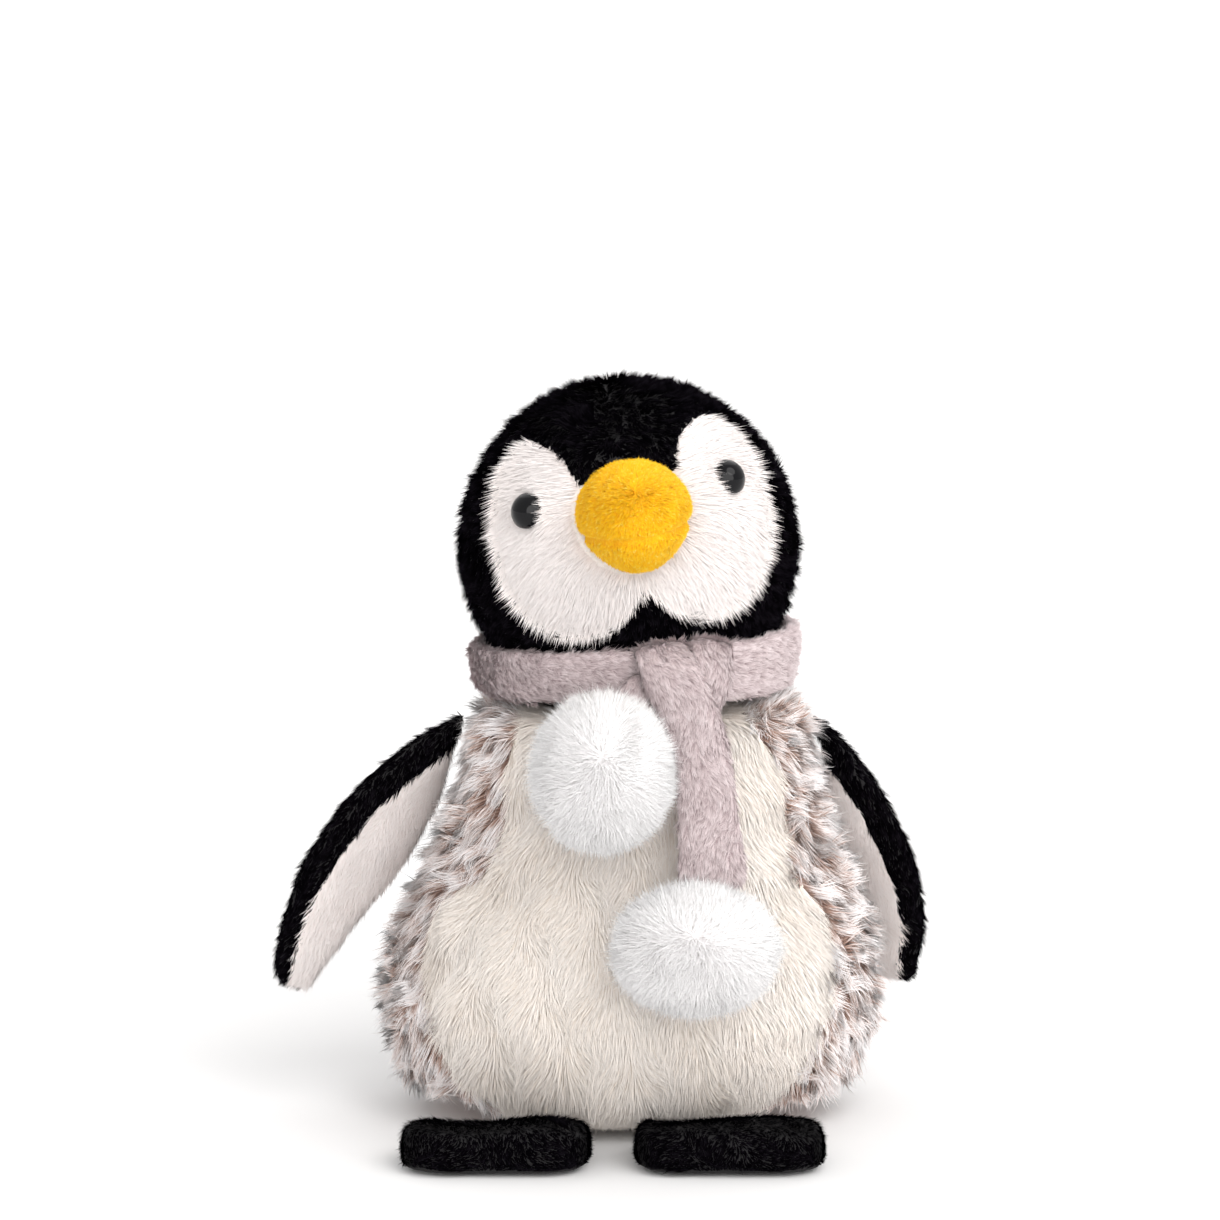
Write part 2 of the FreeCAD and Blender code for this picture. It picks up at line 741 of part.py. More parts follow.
def make_pompom(kind):
    """A ball of long fur gathered round a wad of stuffing."""
    def ball(name, shrink):
        shape = primitive("Ellipsoid", name, {
            "Radius1": f"{kind}_pompom_half_z - ( {shrink} )",
            "Radius2": f"{kind}_pompom_half_x - ( {shrink} )",
            "Radius3": f"{kind}_pompom_half_y - ( {shrink} )",
            "Placement.Base.x": f"{kind}_pompom_across",
            "Placement.Base.y": f"0 - {kind}_pompom_front",
            "Placement.Base.z": f"{kind}_pompom_height",
        })
        return shape

    cover = cut(f"pompom_{kind}_cover", ball(f"pompom_{kind}_outside", "0"),
                ball(f"pompom_{kind}_inside", "pompom_cover"))
    return [cover, ball(f"pompom_{kind}_stuffing", "( pompom_cover + seam_gap )")]


# ---------------------------------------------------------------- the whole penguin

def make_penguin():
    """Every piece that is exported."""
    tools = make_torso_tools()
    pieces = make_covers(tools) + make_fillings(tools) + make_drawstring() + make_head()
    for name, side in SIDES.items():
        pieces += make_wing(side, name, tools)
    pieces += make_feet(tools) + make_scarf(tools)
    for kind in TAILS:
        pieces.append(make_tail(kind))
        pieces += make_pompom(kind)
    return pieces


def export(pieces):
    """Checks the whole document, then writes one STEP file for each piece."""
    doc.recompute()
    for obj in doc.Objects:
        if "Invalid" in obj.State or "Error" in obj.State:
            raise RuntimeError(f"{obj.Name} failed: {obj.State}")
    os.makedirs("parts", exist_ok=True)
    for piece in pieces:
        shape = piece.Shape
        if shape.isNull() or not shape.isValid() or len(shape.Solids) != 1:
            raise RuntimeError(f"{piece.Label} is not one valid solid")
        shape.exportStep(f"parts/{piece.Label}.step")
        box = shape.optimalBoundingBox()
        print(f"{piece.Label:24s} {shape.Volume / 1000:8.2f} cm3  z {box.ZMin:6.1f} to {box.ZMax:6.1f}")


fill_sheet()
export(make_penguin())
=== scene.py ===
"""The looks of a plush penguin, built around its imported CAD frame.

Every stuffed part gets a skin wrapped around its CAD solids, and a pile of tapered strands
combed over that skin. A short cloth simulation fills the head, the body, the wings and the feet.
"""
import json
import math

import bmesh
import bpy
import numpy as np
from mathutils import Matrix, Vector
from mathutils.bvhtree import BVHTree
from mathutils.kdtree import KDTree


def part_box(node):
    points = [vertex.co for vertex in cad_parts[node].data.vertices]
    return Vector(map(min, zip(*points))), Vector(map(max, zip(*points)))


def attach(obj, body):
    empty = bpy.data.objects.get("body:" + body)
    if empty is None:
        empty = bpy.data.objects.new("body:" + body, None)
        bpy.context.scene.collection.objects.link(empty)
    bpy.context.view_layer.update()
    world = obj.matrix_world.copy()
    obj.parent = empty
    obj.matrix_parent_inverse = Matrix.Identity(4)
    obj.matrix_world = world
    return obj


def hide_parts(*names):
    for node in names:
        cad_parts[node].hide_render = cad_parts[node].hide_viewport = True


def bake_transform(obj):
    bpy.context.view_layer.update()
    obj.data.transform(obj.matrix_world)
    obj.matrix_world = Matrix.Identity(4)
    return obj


MM = 0.001
UP = np.array([0.0, 0.0, 1.0])
BAKE_MAP = "OFBake"

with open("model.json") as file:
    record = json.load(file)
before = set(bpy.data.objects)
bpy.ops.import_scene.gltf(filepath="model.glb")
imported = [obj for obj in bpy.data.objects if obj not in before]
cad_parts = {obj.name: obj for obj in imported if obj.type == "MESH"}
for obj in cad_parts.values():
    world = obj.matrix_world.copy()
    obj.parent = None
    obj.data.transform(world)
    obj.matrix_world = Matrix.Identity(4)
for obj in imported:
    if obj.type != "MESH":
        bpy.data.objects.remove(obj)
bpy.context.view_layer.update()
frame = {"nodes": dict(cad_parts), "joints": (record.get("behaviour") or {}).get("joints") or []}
NODES = frame["nodes"]


# ---------------------------------------------------------------- places taken from the frame

def centre_of(node):
    """The middle of a CAD node's box."""
    low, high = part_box(node)
    return np.array((low + high) / 2)


def joint_place(name):
    """Where a joint of the record turns."""
    joint = next(j for j in frame["joints"] if j["name"] == name)
    return np.array(joint["pos_m"], float)


def unit(vectors):
    """Vectors brought to length one."""
    lengths = np.linalg.norm(vectors, axis=-1, keepdims=True)
    return vectors / np.maximum(lengths, 1e-9)


HEAD = joint_place("head_turn")
EYE_LINE = centre_of("eye_left") - centre_of("eye_right")
HEAD_X = unit(EYE_LINE)
HEAD_Y = unit(np.cross(UP, HEAD_X))
HEAD_Z = np.cross(HEAD_X, HEAD_Y)
HEAD_AXES = np.stack([HEAD_X, HEAD_Y, HEAD_Z], axis=1)


def in_head(points):
    """Points in the head's own axes: across, back and up from the neck point."""
    return (points - HEAD) @ HEAD_AXES


# ---------------------------------------------------------------- camera, floor and light

CAMERA_TARGET = Vector((-0.0057, 0.0, 0.1696))
CAMERA_DISTANCE = 1.70
CAMERA_ELEVATION = math.radians(8)
CAMERA_LENS = 150.5


def make_camera():
    """The camera at the photograph's angle."""
    data = bpy.data.cameras.new("camera")
    data.lens = CAMERA_LENS
    data.sensor_width = 36
    camera = bpy.data.objects.new("camera", data)
    bpy.context.scene.collection.objects.link(camera)
    back = Vector((0, -math.cos(CAMERA_ELEVATION), math.sin(CAMERA_ELEVATION)))
    camera.location = CAMERA_TARGET + back * CAMERA_DISTANCE
    camera.rotation_euler = (-back).to_track_quat("-Z", "Y").to_euler()
    bpy.context.scene.camera = camera


def sun(name, strength, azimuth, elevation, spread, colour=(1, 1, 1)):
    """A wide, soft lamp with no falloff. Azimuth 0 is in front, 90 at the viewer's right."""
    data = bpy.data.lights.new(name, "SUN")
    data.energy = strength
    data.angle = math.radians(spread)
    data.color = colour
    lamp = bpy.data.objects.new(name, data)
    bpy.context.scene.collection.objects.link(lamp)
    turn = math.radians(azimuth)
    rise = math.radians(elevation)
    flat = math.cos(rise)
    to_lamp = Vector((math.sin(turn) * flat, -math.cos(turn) * flat, math.sin(rise)))
    lamp.rotation_euler = to_lamp.to_track_quat("Z", "Y").to_euler()


def make_stage():
    """A plain pale floor, a white surround and soft studio light."""
    scene = bpy.context.scene
    scene.view_settings.view_transform = "Standard"
    world = bpy.data.worlds.new("surround")
    scene.world = world
    world.use_nodes = True
    nodes = world.node_tree.nodes
    links = world.node_tree.links
    nodes.clear()
    output = nodes.new("ShaderNodeOutputWorld")
    light = nodes.new("ShaderNodeBackground")
    light.inputs["Color"].default_value = (1.0, 0.99, 0.985, 1)
    light.inputs["Strength"].default_value = 0.76
    seen = nodes.new("ShaderNodeBackground")
    seen.inputs["Color"].default_value = (1, 1, 1, 1)
    seen.inputs["Strength"].default_value = 1.02
    path = nodes.new("ShaderNodeLightPath")
    mix = nodes.new("ShaderNodeMixShader")
    links.new(path.outputs["Is Camera Ray"], mix.inputs["Fac"])
    links.new(light.outputs["Background"], mix.inputs[1])
    links.new(seen.outputs["Background"], mix.inputs[2])
    links.new(mix.outputs["Shader"], output.inputs["Surface"])

    mesh = bpy.data.meshes.new("floor")
    half = 60.0
    corners = [(-half, -half, 0), (half, -half, 0), (half, half, 0), (-half, half, 0)]
    mesh.from_pydata(corners, [], [(0, 1, 2, 3)])
    floor = bpy.data.objects.new("floor", mesh)
    scene.collection.objects.link(floor)
    mesh.materials.append(plain_material("floor_paper", (0.88, 0.88, 0.88), 0.9))
    sun("key", 1.15, 46, 50, 45, (1.0, 0.985, 0.975))
    sun("fill", 2.7, 12, 12, 70, (1.0, 0.985, 0.975))
    sun("rim", 0.5, 180, 50, 60)


# ---------------------------------------------------------------- materials

def plain_material(name, colour, roughness):
    """A material of one colour, for the stage."""
    material = bpy.data.materials.new(name)
    material.use_nodes = True
    shader = material.node_tree.nodes["Principled BSDF"]
    shader.inputs["Base Color"].default_value = (*colour, 1)
    shader.inputs["Roughness"].default_value = roughness
    return material


def srgb(red, green, blue):
    """A colour given on the screen's 0 to 255 scale, as linear light."""
    values = np.array([red, green, blue]) / 255
    return tuple(np.where(values <= 0.04045, values / 12.92, ((values + 0.055) / 1.055) ** 2.4))


class Nodes:
    """Short ways to add shader nodes to one material."""

    def __init__(self, name):
        """A new material of the given name, with its shader."""
        self.material = bpy.data.materials.new(name)
        self.material.use_nodes = True
        self.tree = self.material.node_tree
        self.shader = self.tree.nodes["Principled BSDF"]

    def add(self, kind, **inputs):
        """A node with some of its inputs set, to a value or to another node's output."""
        node = self.tree.nodes.new("ShaderNode" + kind)
        for name, value in inputs.items():
            self.put(node.inputs[name.replace("_", " ")], value)
        return node

    def put(self, socket, value):
        """Sets a socket to a value, or links another node's output to it."""
        if isinstance(value, bpy.types.NodeSocket):
            self.tree.links.new(value, socket)
        else:
            socket.default_value = value

    def place(self, scale=1.0):
        """Object coordinates in millimetres."""
        coordinates = self.add("TexCoord")
        mapping = self.add("Mapping", Vector=coordinates.outputs["Object"])
        mapping.inputs["Scale"].default_value = (scale / MM,) * 3
        return mapping.outputs["Vector"]

    def noise(self, place, scale, detail=2.0):
        """A cloudy pattern from 0 to 1."""
        node = self.add("TexNoise", Vector=place, Scale=scale, Detail=detail)
        return node.outputs["Fac"]

    def ramp(self, factor, *stops):
        """A colour ramp: stops are (position, colour)."""
        node = self.add("ValToRGB", Fac=factor)
        elements = node.color_ramp.elements
        while len(elements) < len(stops):
            elements.new(0.5)
        for element, (position, colour) in zip(elements, stops):
            element.position = position
            element.color = (*colour, 1)
        return node.outputs["Color"]

    def maths(self, operation, first, second):
        """One sum on two values."""
        node = self.add("Math")
        node.operation = operation
        self.put(node.inputs[0], first)
        self.put(node.inputs[1], second)
        return node.outputs["Value"]


def backing_material(name, dark, light, grain=0.9, depth=0.4, sheen=0.2):
    """The knitted backing that a pile grows from, with its rows of loops."""
    n = Nodes(name)
    place = n.place()
    patches = n.noise(place, 0.06, 3)
    loops = n.add("TexVoronoi", Vector=place, Scale=grain)
    height = n.maths("ADD", loops.outputs["Distance"], n.noise(place, 1.8, 2))
    colour = n.ramp(n.maths("MULTIPLY", n.maths("ADD", patches, loops.outputs["Distance"]), 0.7),
                    (0.25, dark), (0.75, light))
    n.put(n.shader.inputs["Base Color"], colour)
    n.put(n.shader.inputs["Roughness"], n.maths("ADD", n.maths("MULTIPLY", patches, 0.15), 0.78))
    bump = n.add("Bump", Strength=depth, Distance=0.4 * MM, Height=height)
    n.put(n.shader.inputs["Normal"], bump.outputs["Normal"])
    n.shader.inputs["Sheen Weight"].default_value = sheen
    n.shader.inputs["Sheen Roughness"].default_value = 0.5
    return n.material


def pile_material(name, *stops, patch_scale=0.05, patch_share=0.3, roughness=0.75, sheen=0.25,
                  specular=0.25, rigid=True):
    """The strands: coloured from root to tip, each a little different, in soft patches.

    On a rigid piece both sides of a strand are lit as the skin below it is.
    """
    n = Nodes(name)
    place = n.place()
    along = n.add("Attribute")
    along.attribute_name = "shade"
    patches = n.noise(place, patch_scale, 3)
    shift = n.maths("MULTIPLY", n.maths("SUBTRACT", patches, 0.5), patch_share)
    colour = n.ramp(n.maths("ADD", along.outputs["Fac"], shift), *stops)
    n.put(n.shader.inputs["Base Color"], colour)
    if rigid:
        facing = n.add("Attribute")
        facing.attribute_name = "facing"
        turned = n.add("VectorTransform", Vector=facing.outputs["Vector"])
        turned.vector_type = "NORMAL"
        turned.convert_from = "OBJECT"
        turned.convert_to = "WORLD"
        n.put(n.shader.inputs["Normal"], turned.outputs["Vector"])
    n.shader.inputs["Roughness"].default_value = roughness
    n.shader.inputs["Sheen Weight"].default_value = sheen
    n.shader.inputs["Sheen Roughness"].default_value = 0.4
    n.shader.inputs["Specular IOR Level"].default_value = specular
    return n.material


# ---------------------------------------------------------------- mesh helpers

def mesh_points(mesh):
    """A mesh's points as an array."""
    values = np.empty(len(mesh.vertices) * 3, np.float32)
    mesh.vertices.foreach_get("co", values)
    return values.reshape(-1, 3).astype(float)


def set_points(mesh, points):
    """Moves a mesh's points to the places in an array."""
    mesh.vertices.foreach_set("co", points.astype(np.float32).ravel())
    mesh.update()


def mesh_normals(mesh):
    """A mesh's smooth normals, one for each point."""
    values = np.empty(len(mesh.vertices) * 3, np.float32)
    mesh.vertex_normals.foreach_get("vector", values)
    return values.reshape(-1, 3).astype(float)


def new_piece(name, mesh):
    """An object in the scene, with a mesh."""
    piece = bpy.data.objects.new(name, mesh)
    bpy.context.scene.collection.objects.link(piece)
    return piece


def applied(piece):
    """Applies the piece's modifiers."""
    graph = bpy.context.evaluated_depsgraph_get()
    mesh = bpy.data.meshes.new_from_object(piece.evaluated_get(graph))
    piece.modifiers.clear()
    old = piece.data
    piece.data = mesh
    bpy.data.meshes.remove(old)
    mesh.name = piece.name


def keep_largest_shell(mesh):
    """Drops the closed shells inside the outer one."""
    shape = bmesh.new()
    shape.from_mesh(mesh)
    waiting = set(shape.verts)
    shells = []
    while waiting:
        stack = [waiting.pop()]
        shell = set(stack)
        while stack:
            for edge in stack.pop().link_edges:
                for vertex in edge.verts:
                    if vertex in waiting:
                        waiting.remove(vertex)
                        shell.add(vertex)
                        stack.append(vertex)
        shells.append(shell)
    biggest = max(shells, key=len)
    loose = [v for v in shape.verts if v not in biggest]
    bmesh.ops.delete(shape, geom=loose, context="VERTS")
    shape.to_mesh(mesh)
    shape.free()


def relax(mesh, rounds, share=0.5):
    """Moves each point towards the middle of its neighbours."""
    edges = np.empty(len(mesh.edges) * 2, np.int32)
    mesh.edges.foreach_get("vertices", edges)
    one, two = edges.reshape(-1, 2).T
    points = mesh_points(mesh)
    count = np.bincount(edges, minlength=len(points))[:, None]
    for _ in range(rounds):
        total = np.zeros_like(points)
        np.add.at(total, one, points[two])
        np.add.at(total, two, points[one])
        points += share * (total / np.maximum(count, 1) - points)
    set_points(mesh, points)


def wrap(name, nodes, voxel, inset, rounds):
    """A closed skin around CAD nodes, a little inside them so that the pile fills the rest."""
    shape = bmesh.new()
    for node in nodes:
        shape.from_mesh(NODES[node].data)
    mesh = bpy.data.meshes.new(name)
    shape.to_mesh(mesh)
    shape.free()
    skin = new_piece(name, mesh)
    remesh = skin.modifiers.new("remesh", "REMESH")
    remesh.mode = "VOXEL"
    remesh.voxel_size = voxel
    applied(skin)
    keep_largest_shell(skin.data)
    relax(skin.data, rounds)
    points = mesh_points(skin.data) - inset * mesh_normals(skin.data)
    set_points(skin.data, points)
    relax(skin.data, 2)
    skin.data.polygons.foreach_set("use_smooth", np.ones(len(skin.data.polygons), bool))
    return skin


def subdivide(piece):
    """Splits each face of a piece once, smoothly."""
    modifier = piece.modifiers.new("smooth", "SUBSURF")
    modifier.levels = 1
    modifier.render_levels = 1
    applied(piece)


def keep_above_floor(skin):
    """Lifts the points that have sunk into the floor."""
    points = mesh_points(skin.data)
    points[:, 2] = np.maximum(points[:, 2], 0.2 * MM)
    set_points(skin.data, points)


STUFFING_FRAMES = 20


def stuff(skins, pressure=4.0, cap=3.0 * MM):
    """Fills skins by a cloth simulation, and keeps every point within cap of its place."""
    scene = bpy.context.scene
    before = {}
    for skin in skins:
        before[skin.name] = mesh_points(skin.data)
        cloth = skin.modifiers.new("stuffing", "CLOTH")
        cloth.settings.quality = 5
        cloth.settings.mass = 0.3
        cloth.settings.use_pressure = True
        cloth.settings.uniform_pressure_force = pressure
        cloth.settings.effector_weights.gravity = 0
        cloth.point_cache.frame_start = 1
        cloth.point_cache.frame_end = STUFFING_FRAMES
    for step in range(1, STUFFING_FRAMES + 1):
        scene.frame_set(step)
    for skin in skins:
        applied(skin)
        start = before[skin.name]
        move = mesh_points(skin.data) - start
        size = np.linalg.norm(move, axis=1, keepdims=True)
        set_points(skin.data, start + move * np.minimum(1, cap / np.maximum(size, 1e-9)))
        relax(skin.data, 1)
        keep_above_floor(skin)
    scene.frame_set(1)


# ---------------------------------------------------------------- pile

def ripples(points, size, random, waves=5):
    """A smooth field of vectors that wavers over a distance of size."""
    field = np.zeros_like(points)
    for _ in range(waves):
        way = unit(random.normal(size=3)) * (2 * math.pi / (size * random.uniform(0.7, 1.5)))
        swing = random.normal(size=3)
        field += np.sin(points @ way + random.uniform(0, 2 * math.pi))[:, None] * swing
    return field / math.sqrt(waves)


def scatter(mesh, spacing, random):
    """Points spread over a mesh, one to each spacing squared, with their smooth normals."""
    mesh.calc_loop_triangles()
    corners = np.empty(len(mesh.loop_triangles) * 3, np.int32)
    mesh.loop_triangles.foreach_get("vertices", corners)
    corners = corners.reshape(-1, 3)
    points = mesh_points(mesh)
    normals = mesh_normals(mesh)
    a, b, c = (points[corners[:, i]] for i in range(3))
    area = np.linalg.norm(np.cross(b - a, c - a), axis=1) / 2
    count = int(area.sum() / spacing ** 2)
    chosen = random.choice(len(area), count, p=area / area.sum())
    u = np.sqrt(random.random(count))
    v = random.random(count)
    weights = np.stack([1 - u, u * (1 - v), u * v], axis=1)[:, :, None]
    roots = (points[corners[chosen]] * weights).sum(axis=1)
    facing = unit((normals[corners[chosen]] * weights).sum(axis=1))
    return roots, facing


def tuft_centres(roots, share, random):
    """For each root, the number of the root at the middle of its tuft."""
    count = max(1, int(len(roots) * share))
    centres = random.choice(len(roots), count, replace=False)
    tree = KDTree(count)
    for index in centres:
        tree.insert(Vector(roots[index]), int(index))
    tree.balance()
    return np.array([tree.find(Vector(root))[1] for root in roots])


def swirled(comb, roots, normals, amount, size, random):
    """A combing direction along the skin, made to waver over a distance of size."""
    comb = unit(comb - (comb * normals).sum(axis=1, keepdims=True) * normals)
    return comb + amount * ripples(roots, size, random)


# how far a strand may lie down or stand up, and how much it may twist about its own length
LEAST_RISE = 0.08
MOST_RISE = 0.86
SIDE_JITTER = 0.12


def grow(name, roots, normals, comb, material, random, length, width, lean=0.6, mess=0.25,
         segments=2, spread=0.25, tuft_share=0.0, pull=0.6, droop=0.3, shine=0.5, curl=0.0,
         gather=0.4, corners=2):
    """A pile: one tapered strand from each root, leaning the way it is combed.

    lean runs from 0, upright, to 1, flat. A tuft_share of the roots are the middles of
    tufts: pull says how far the others lean as they do, gather how far the tips close up,
    and curl bends each tuft. A strand has 2 corners across, a flat blade, or 3, a round one.
    """
    comb = unit(comb - (comb * normals).sum(axis=1, keepdims=True) * normals)
    way = unit((1 - lean) * normals + lean * comb + mess * random.normal(size=roots.shape))
    tone = 0.10 * random.normal(size=len(roots))
    lengths = length * np.exp(spread * random.normal(size=len(roots)))[:, None]
    lengths = np.minimum(lengths, 1.6 * length)
    bend = np.zeros_like(roots)
    if tuft_share > 0:
        centre = tuft_centres(roots, tuft_share, random)
        way = unit(way + pull * (way[centre] - way))
        tone += 0.10 * random.normal(size=len(roots))[centre]
        bend = curl * lengths * random.normal(size=roots.shape)[centre]
    rise = (way * normals).sum(axis=1, keepdims=True)
    way = unit(way + (np.clip(rise, LEAST_RISE, MOST_RISE) - rise) * normals)
    middle = roots + 0.5 * lengths * way + bend
    tips = roots + lengths * unit(way + droop * comb)
    if tuft_share > 0:
        tips += gather * (tips[centre] - tips)
    tips[:, 2] = np.maximum(tips[:, 2], 0.4 * MM)
    side = np.cross(way, normals) + SIDE_JITTER * random.normal(size=way.shape)
    side = unit(side - (side * way).sum(axis=1, keepdims=True) * way)
    steps = np.arange(segments + 1) / segments
    half = width / 2 * np.exp(0.2 * random.normal(size=len(roots)))[:, None]
    outward = np.cross(side, way)
    rows = []
    for step in steps[:-1]:
        here = (1 - step) ** 2 * roots + 2 * step * (1 - step) * middle + step ** 2 * tips
        reach = half * (1 - step ** 1.6)
        across = [here - side * reach, here + side * reach, here - 1.7 * outward * reach]
        rows += across[:corners]
    rows.append(tips)
    per = len(rows)
    count = len(roots)
    points = np.stack(rows, axis=1).reshape(-1, 3)
    points[:, 2] = np.maximum(points[:, 2], 0.3 * MM)

    edges = [(0, 1)] if corners == 2 else [(0, 1), (1, 2), (2, 0)]
    faces = []
    for row in range(0, (segments - 1) * corners, corners):
        faces += [(row + a, row + b, row + corners + b, row + corners + a) for a, b in edges]
    faces += [(per - 1 - corners + a, per - 1 - corners + b, per - 1) for a, b in edges]
    first = np.arange(count)[:, None] * per
    loops = (first + np.concatenate(faces)).astype(np.int32).ravel()
    sizes = np.tile(np.array([len(around) for around in faces], np.int32), count)
    mesh = bpy.data.meshes.new(name)
    mesh.vertices.add(len(points))
    mesh.vertices.foreach_set("co", points.astype(np.float32).ravel())
    mesh.loops.add(len(loops))
    mesh.loops.foreach_set("vertex_index", loops)
    mesh.polygons.add(len(sizes))
    starts = np.concatenate([[0], np.cumsum(sizes)[:-1]]).astype(np.int32)
    mesh.polygons.foreach_set("loop_start", starts)
    mesh.polygons.foreach_set("loop_total", sizes)
    mesh.polygons.foreach_set("use_smooth", np.ones(len(sizes), bool))
    mesh.update(calc_edges=True)

    heights = np.concatenate([np.repeat(steps[:-1], corners), [1.0]])[None, :]
    shade = np.clip(0.12 + 0.76 * heights + tone[:, None], 0, 1).astype(np.float32)
    mesh.attributes.new("shade", "FLOAT", "POINT").data.foreach_set("value", shade.ravel())
    facing = np.repeat(unit((1 - shine) * normals + shine * outward), per, axis=0)
    mesh.normals_split_custom_set_from_vertices(facing)
    mesh.attributes.new("facing", "FLOAT_VECTOR", "POINT").data.foreach_set(
        "vector", facing.astype(np.float32).ravel())
    set_bake_map(mesh, count, corners, segments, loops)
    mesh.materials.append(material)
    return new_piece(name, mesh)


def set_bake_map(mesh, count, corners, segments, loops):
    """Gives each strand its own small cell of a texture, in a UV layer of its own."""
    side = math.ceil(math.sqrt(count))
    cell = 1 / side
    number = np.arange(count)
    corner = np.stack([number % side, number // side], axis=1) * cell
    heights = np.concatenate([np.repeat(np.arange(segments) / segments, corners), [1.0]])
    across = np.concatenate([np.tile(np.linspace(0, 1, corners), segments), [0.5]])
    local = np.stack([0.2 + 0.6 * across, 0.1 + 0.8 * heights], axis=1) * cell
    places = (corner[:, None, :] + local[None, :, :]).reshape(-1, 2)
    layer = mesh.uv_layers.new(name=BAKE_MAP)
    layer.data.foreach_set("uv", places[loops].astype(np.float32).ravel())


# ---------------------------------------------------------------- outlines of the fur panels

def smooth_line(points, steps=8, closed=False):
    """A smooth line through a few points."""
    points = np.array(points, float)
    if closed:
        before, here, after, beyond = (np.roll(points, -k, axis=0) for k in (-1, 0, 1, 2))
    else:
        padded = np.concatenate([points[:1], points, points[-1:]])
        before, here, after, beyond = (padded[k:len(padded) - 3 + k] for k in range(4))
    line = []
    for t in np.arange(steps) / steps:
        line.append(0.5 * (2 * here + (after - before) * t
                           + (2 * before - 5 * here + 4 * after - beyond) * t ** 2
                           + (3 * here - before - 3 * after + beyond) * t ** 3))
    line = np.stack(line, axis=1).reshape(-1, points.shape[1])
    return line if closed else np.concatenate([line, points[-1:]])


def inside_outline(across, up, outline):
    """Which points lie inside a closed outline."""
    inside = np.zeros(len(across), bool)
    for (x1, z1), (x2, z2) in zip(outline, np.roll(outline, -1, axis=0)):
        crosses = (z1 > up) != (z2 > up)
        reach = x1 + (up - z1) / (z2 - z1 if z2 != z1 else 1e-12) * (x2 - x1)
        inside ^= crosses & (across < reach)
    return inside


# the cream belly: height, half width and shift to the left, in millimetres
BELLY = smooth_line([
    (1, 24, 0), (6, 33, 0), (11, 40, 0), (18, 51, 0), (31, 60, 0), (44, 64, 0), (57, 65.5, 0),
    (70, 64, 0), (79, 59, 1), (87, 51, 3), (95, 46, 5), (112, 44.5, 6), (128, 42, 4),
    (146, 30, 2), (165, 20, 1),
]) * MM

# a white face patch in the head's axes, from the middle of the face outwards
FACE = smooth_line([
    (-1, -4.5), (2, -8.5), (6, -13.5), (12, -17.5), (21, -19.5), (30, -17.5), (37, -12),
    (41.5, -4), (43.5, 6), (43, 17), (40.5, 27.5), (35, 36.5), (27, 41), (19.5, 37), (15.5, 28.5),
    (8, 24), (-1, 16),
], closed=True) * MM


def on_belly(points):
    """Whether torso points belong to the cream belly."""
    half = np.interp(points[:, 2], BELLY[:, 0], BELLY[:, 1])
    shift = np.interp(points[:, 2], BELLY[:, 0], BELLY[:, 2])
    inside = np.abs(points[:, 0] - shift) < half
    return inside & (points[:, 1] < 0) & (points[:, 2] > BELLY[0, 0])


def on_face(points):
    """Whether head points belong to the white face patches."""
    local = in_head(points)
    inside = inside_outline(np.abs(local[:, 0]), local[:, 2], FACE)
    return inside & (local[:, 1] < 0)


def near_face(points, reach):
    """Whether head points lie on a white face patch or within reach of one."""
    near = on_face(points)
    for way in (HEAD_X, -HEAD_X, HEAD_Z, -HEAD_Z):
        near |= on_face(points + reach * way)
    return near


def nearest_node(points, names):
    """For each point, the number of the nearest of some CAD nodes."""
    distances = []
    for name in names:
        shape = bmesh.new()
        shape.from_mesh(NODES[name].data)
        tree = BVHTree.FromBMesh(shape)
        shape.free()
        distances.append([tree.find_nearest(Vector(p))[3] for p in points])
    return np.argmin(np.array(distances), axis=0)


# ---------------------------------------------------------------- colours

BLACK_ROOT = srgb(3, 2, 4)
# the black plush's tips are lighter partly in their own grey colour and partly as painted sheen,
# standing in for the sheen and specular that black_pile leaves out
BLACK_TIP_AND_PAINTED_SHEEN = srgb(31, 28, 34)
WHITE_ROOT = srgb(241, 229, 224)
WHITE_TIP = srgb(255, 250, 248)
CREAM_ROOT = srgb(243, 226, 208)
CREAM_TIP = srgb(255, 249, 243)

black_backing = backing_material("black_backing", srgb(3, 2, 4), srgb(10, 8, 11), sheen=0)
white_backing = backing_material("white_backing", srgb(228, 218, 210), srgb(246, 240, 236))
cream_backing = backing_material("cream_backing", srgb(226, 212, 188), srgb(244, 236, 220))
fur_backing = backing_material("fur_backing", srgb(120, 96, 88), srgb(178, 154, 146))
beak_backing = backing_material("beak_backing", srgb(246, 160, 0), srgb(255, 184, 4), sheen=0)
scarf_backing = backing_material("scarf_backing", srgb(172, 154, 156), srgb(200, 184, 186))
pompom_backing = backing_material("pompom_backing", srgb(236, 230, 228), srgb(248, 245, 244))
# no sheen or specular on the black plush: its lighter grey tips paint a faint sheen in instead
black_pile = pile_material("black_pile", (0.0, BLACK_ROOT), (0.6, srgb(5, 4, 6)), (1.0, BLACK_TIP_AND_PAINTED_SHEEN),
                           roughness=0.7, sheen=0.0, specular=0.0, patch_share=0.2)
white_pile = pile_material("white_pile", (0.0, WHITE_ROOT), (0.5, srgb(252, 244, 241)),
                           (1.0, WHITE_TIP), patch_share=0.5)
cream_pile = pile_material("cream_pile", (0.0, CREAM_ROOT), (0.5, srgb(253, 243, 233)),
                           (1.0, CREAM_TIP), patch_share=0.6)
fur_pile = pile_material("fur_pile", (0.0, srgb(112, 82, 70)), (0.32, srgb(182, 150, 136)),
                         (0.52, srgb(240, 227, 223)), (0.82, srgb(255, 251, 251)),
                         patch_scale=0.12, patch_share=0.5)
beak_pile = pile_material("beak_pile", (0.0, srgb(240, 148, 0)), (0.35, srgb(255, 184, 2)),
                          (0.75, srgb(255, 198, 10)), (1.0, srgb(255, 230, 110)),
                          patch_scale=0.6, patch_share=0.8, sheen=0.0)
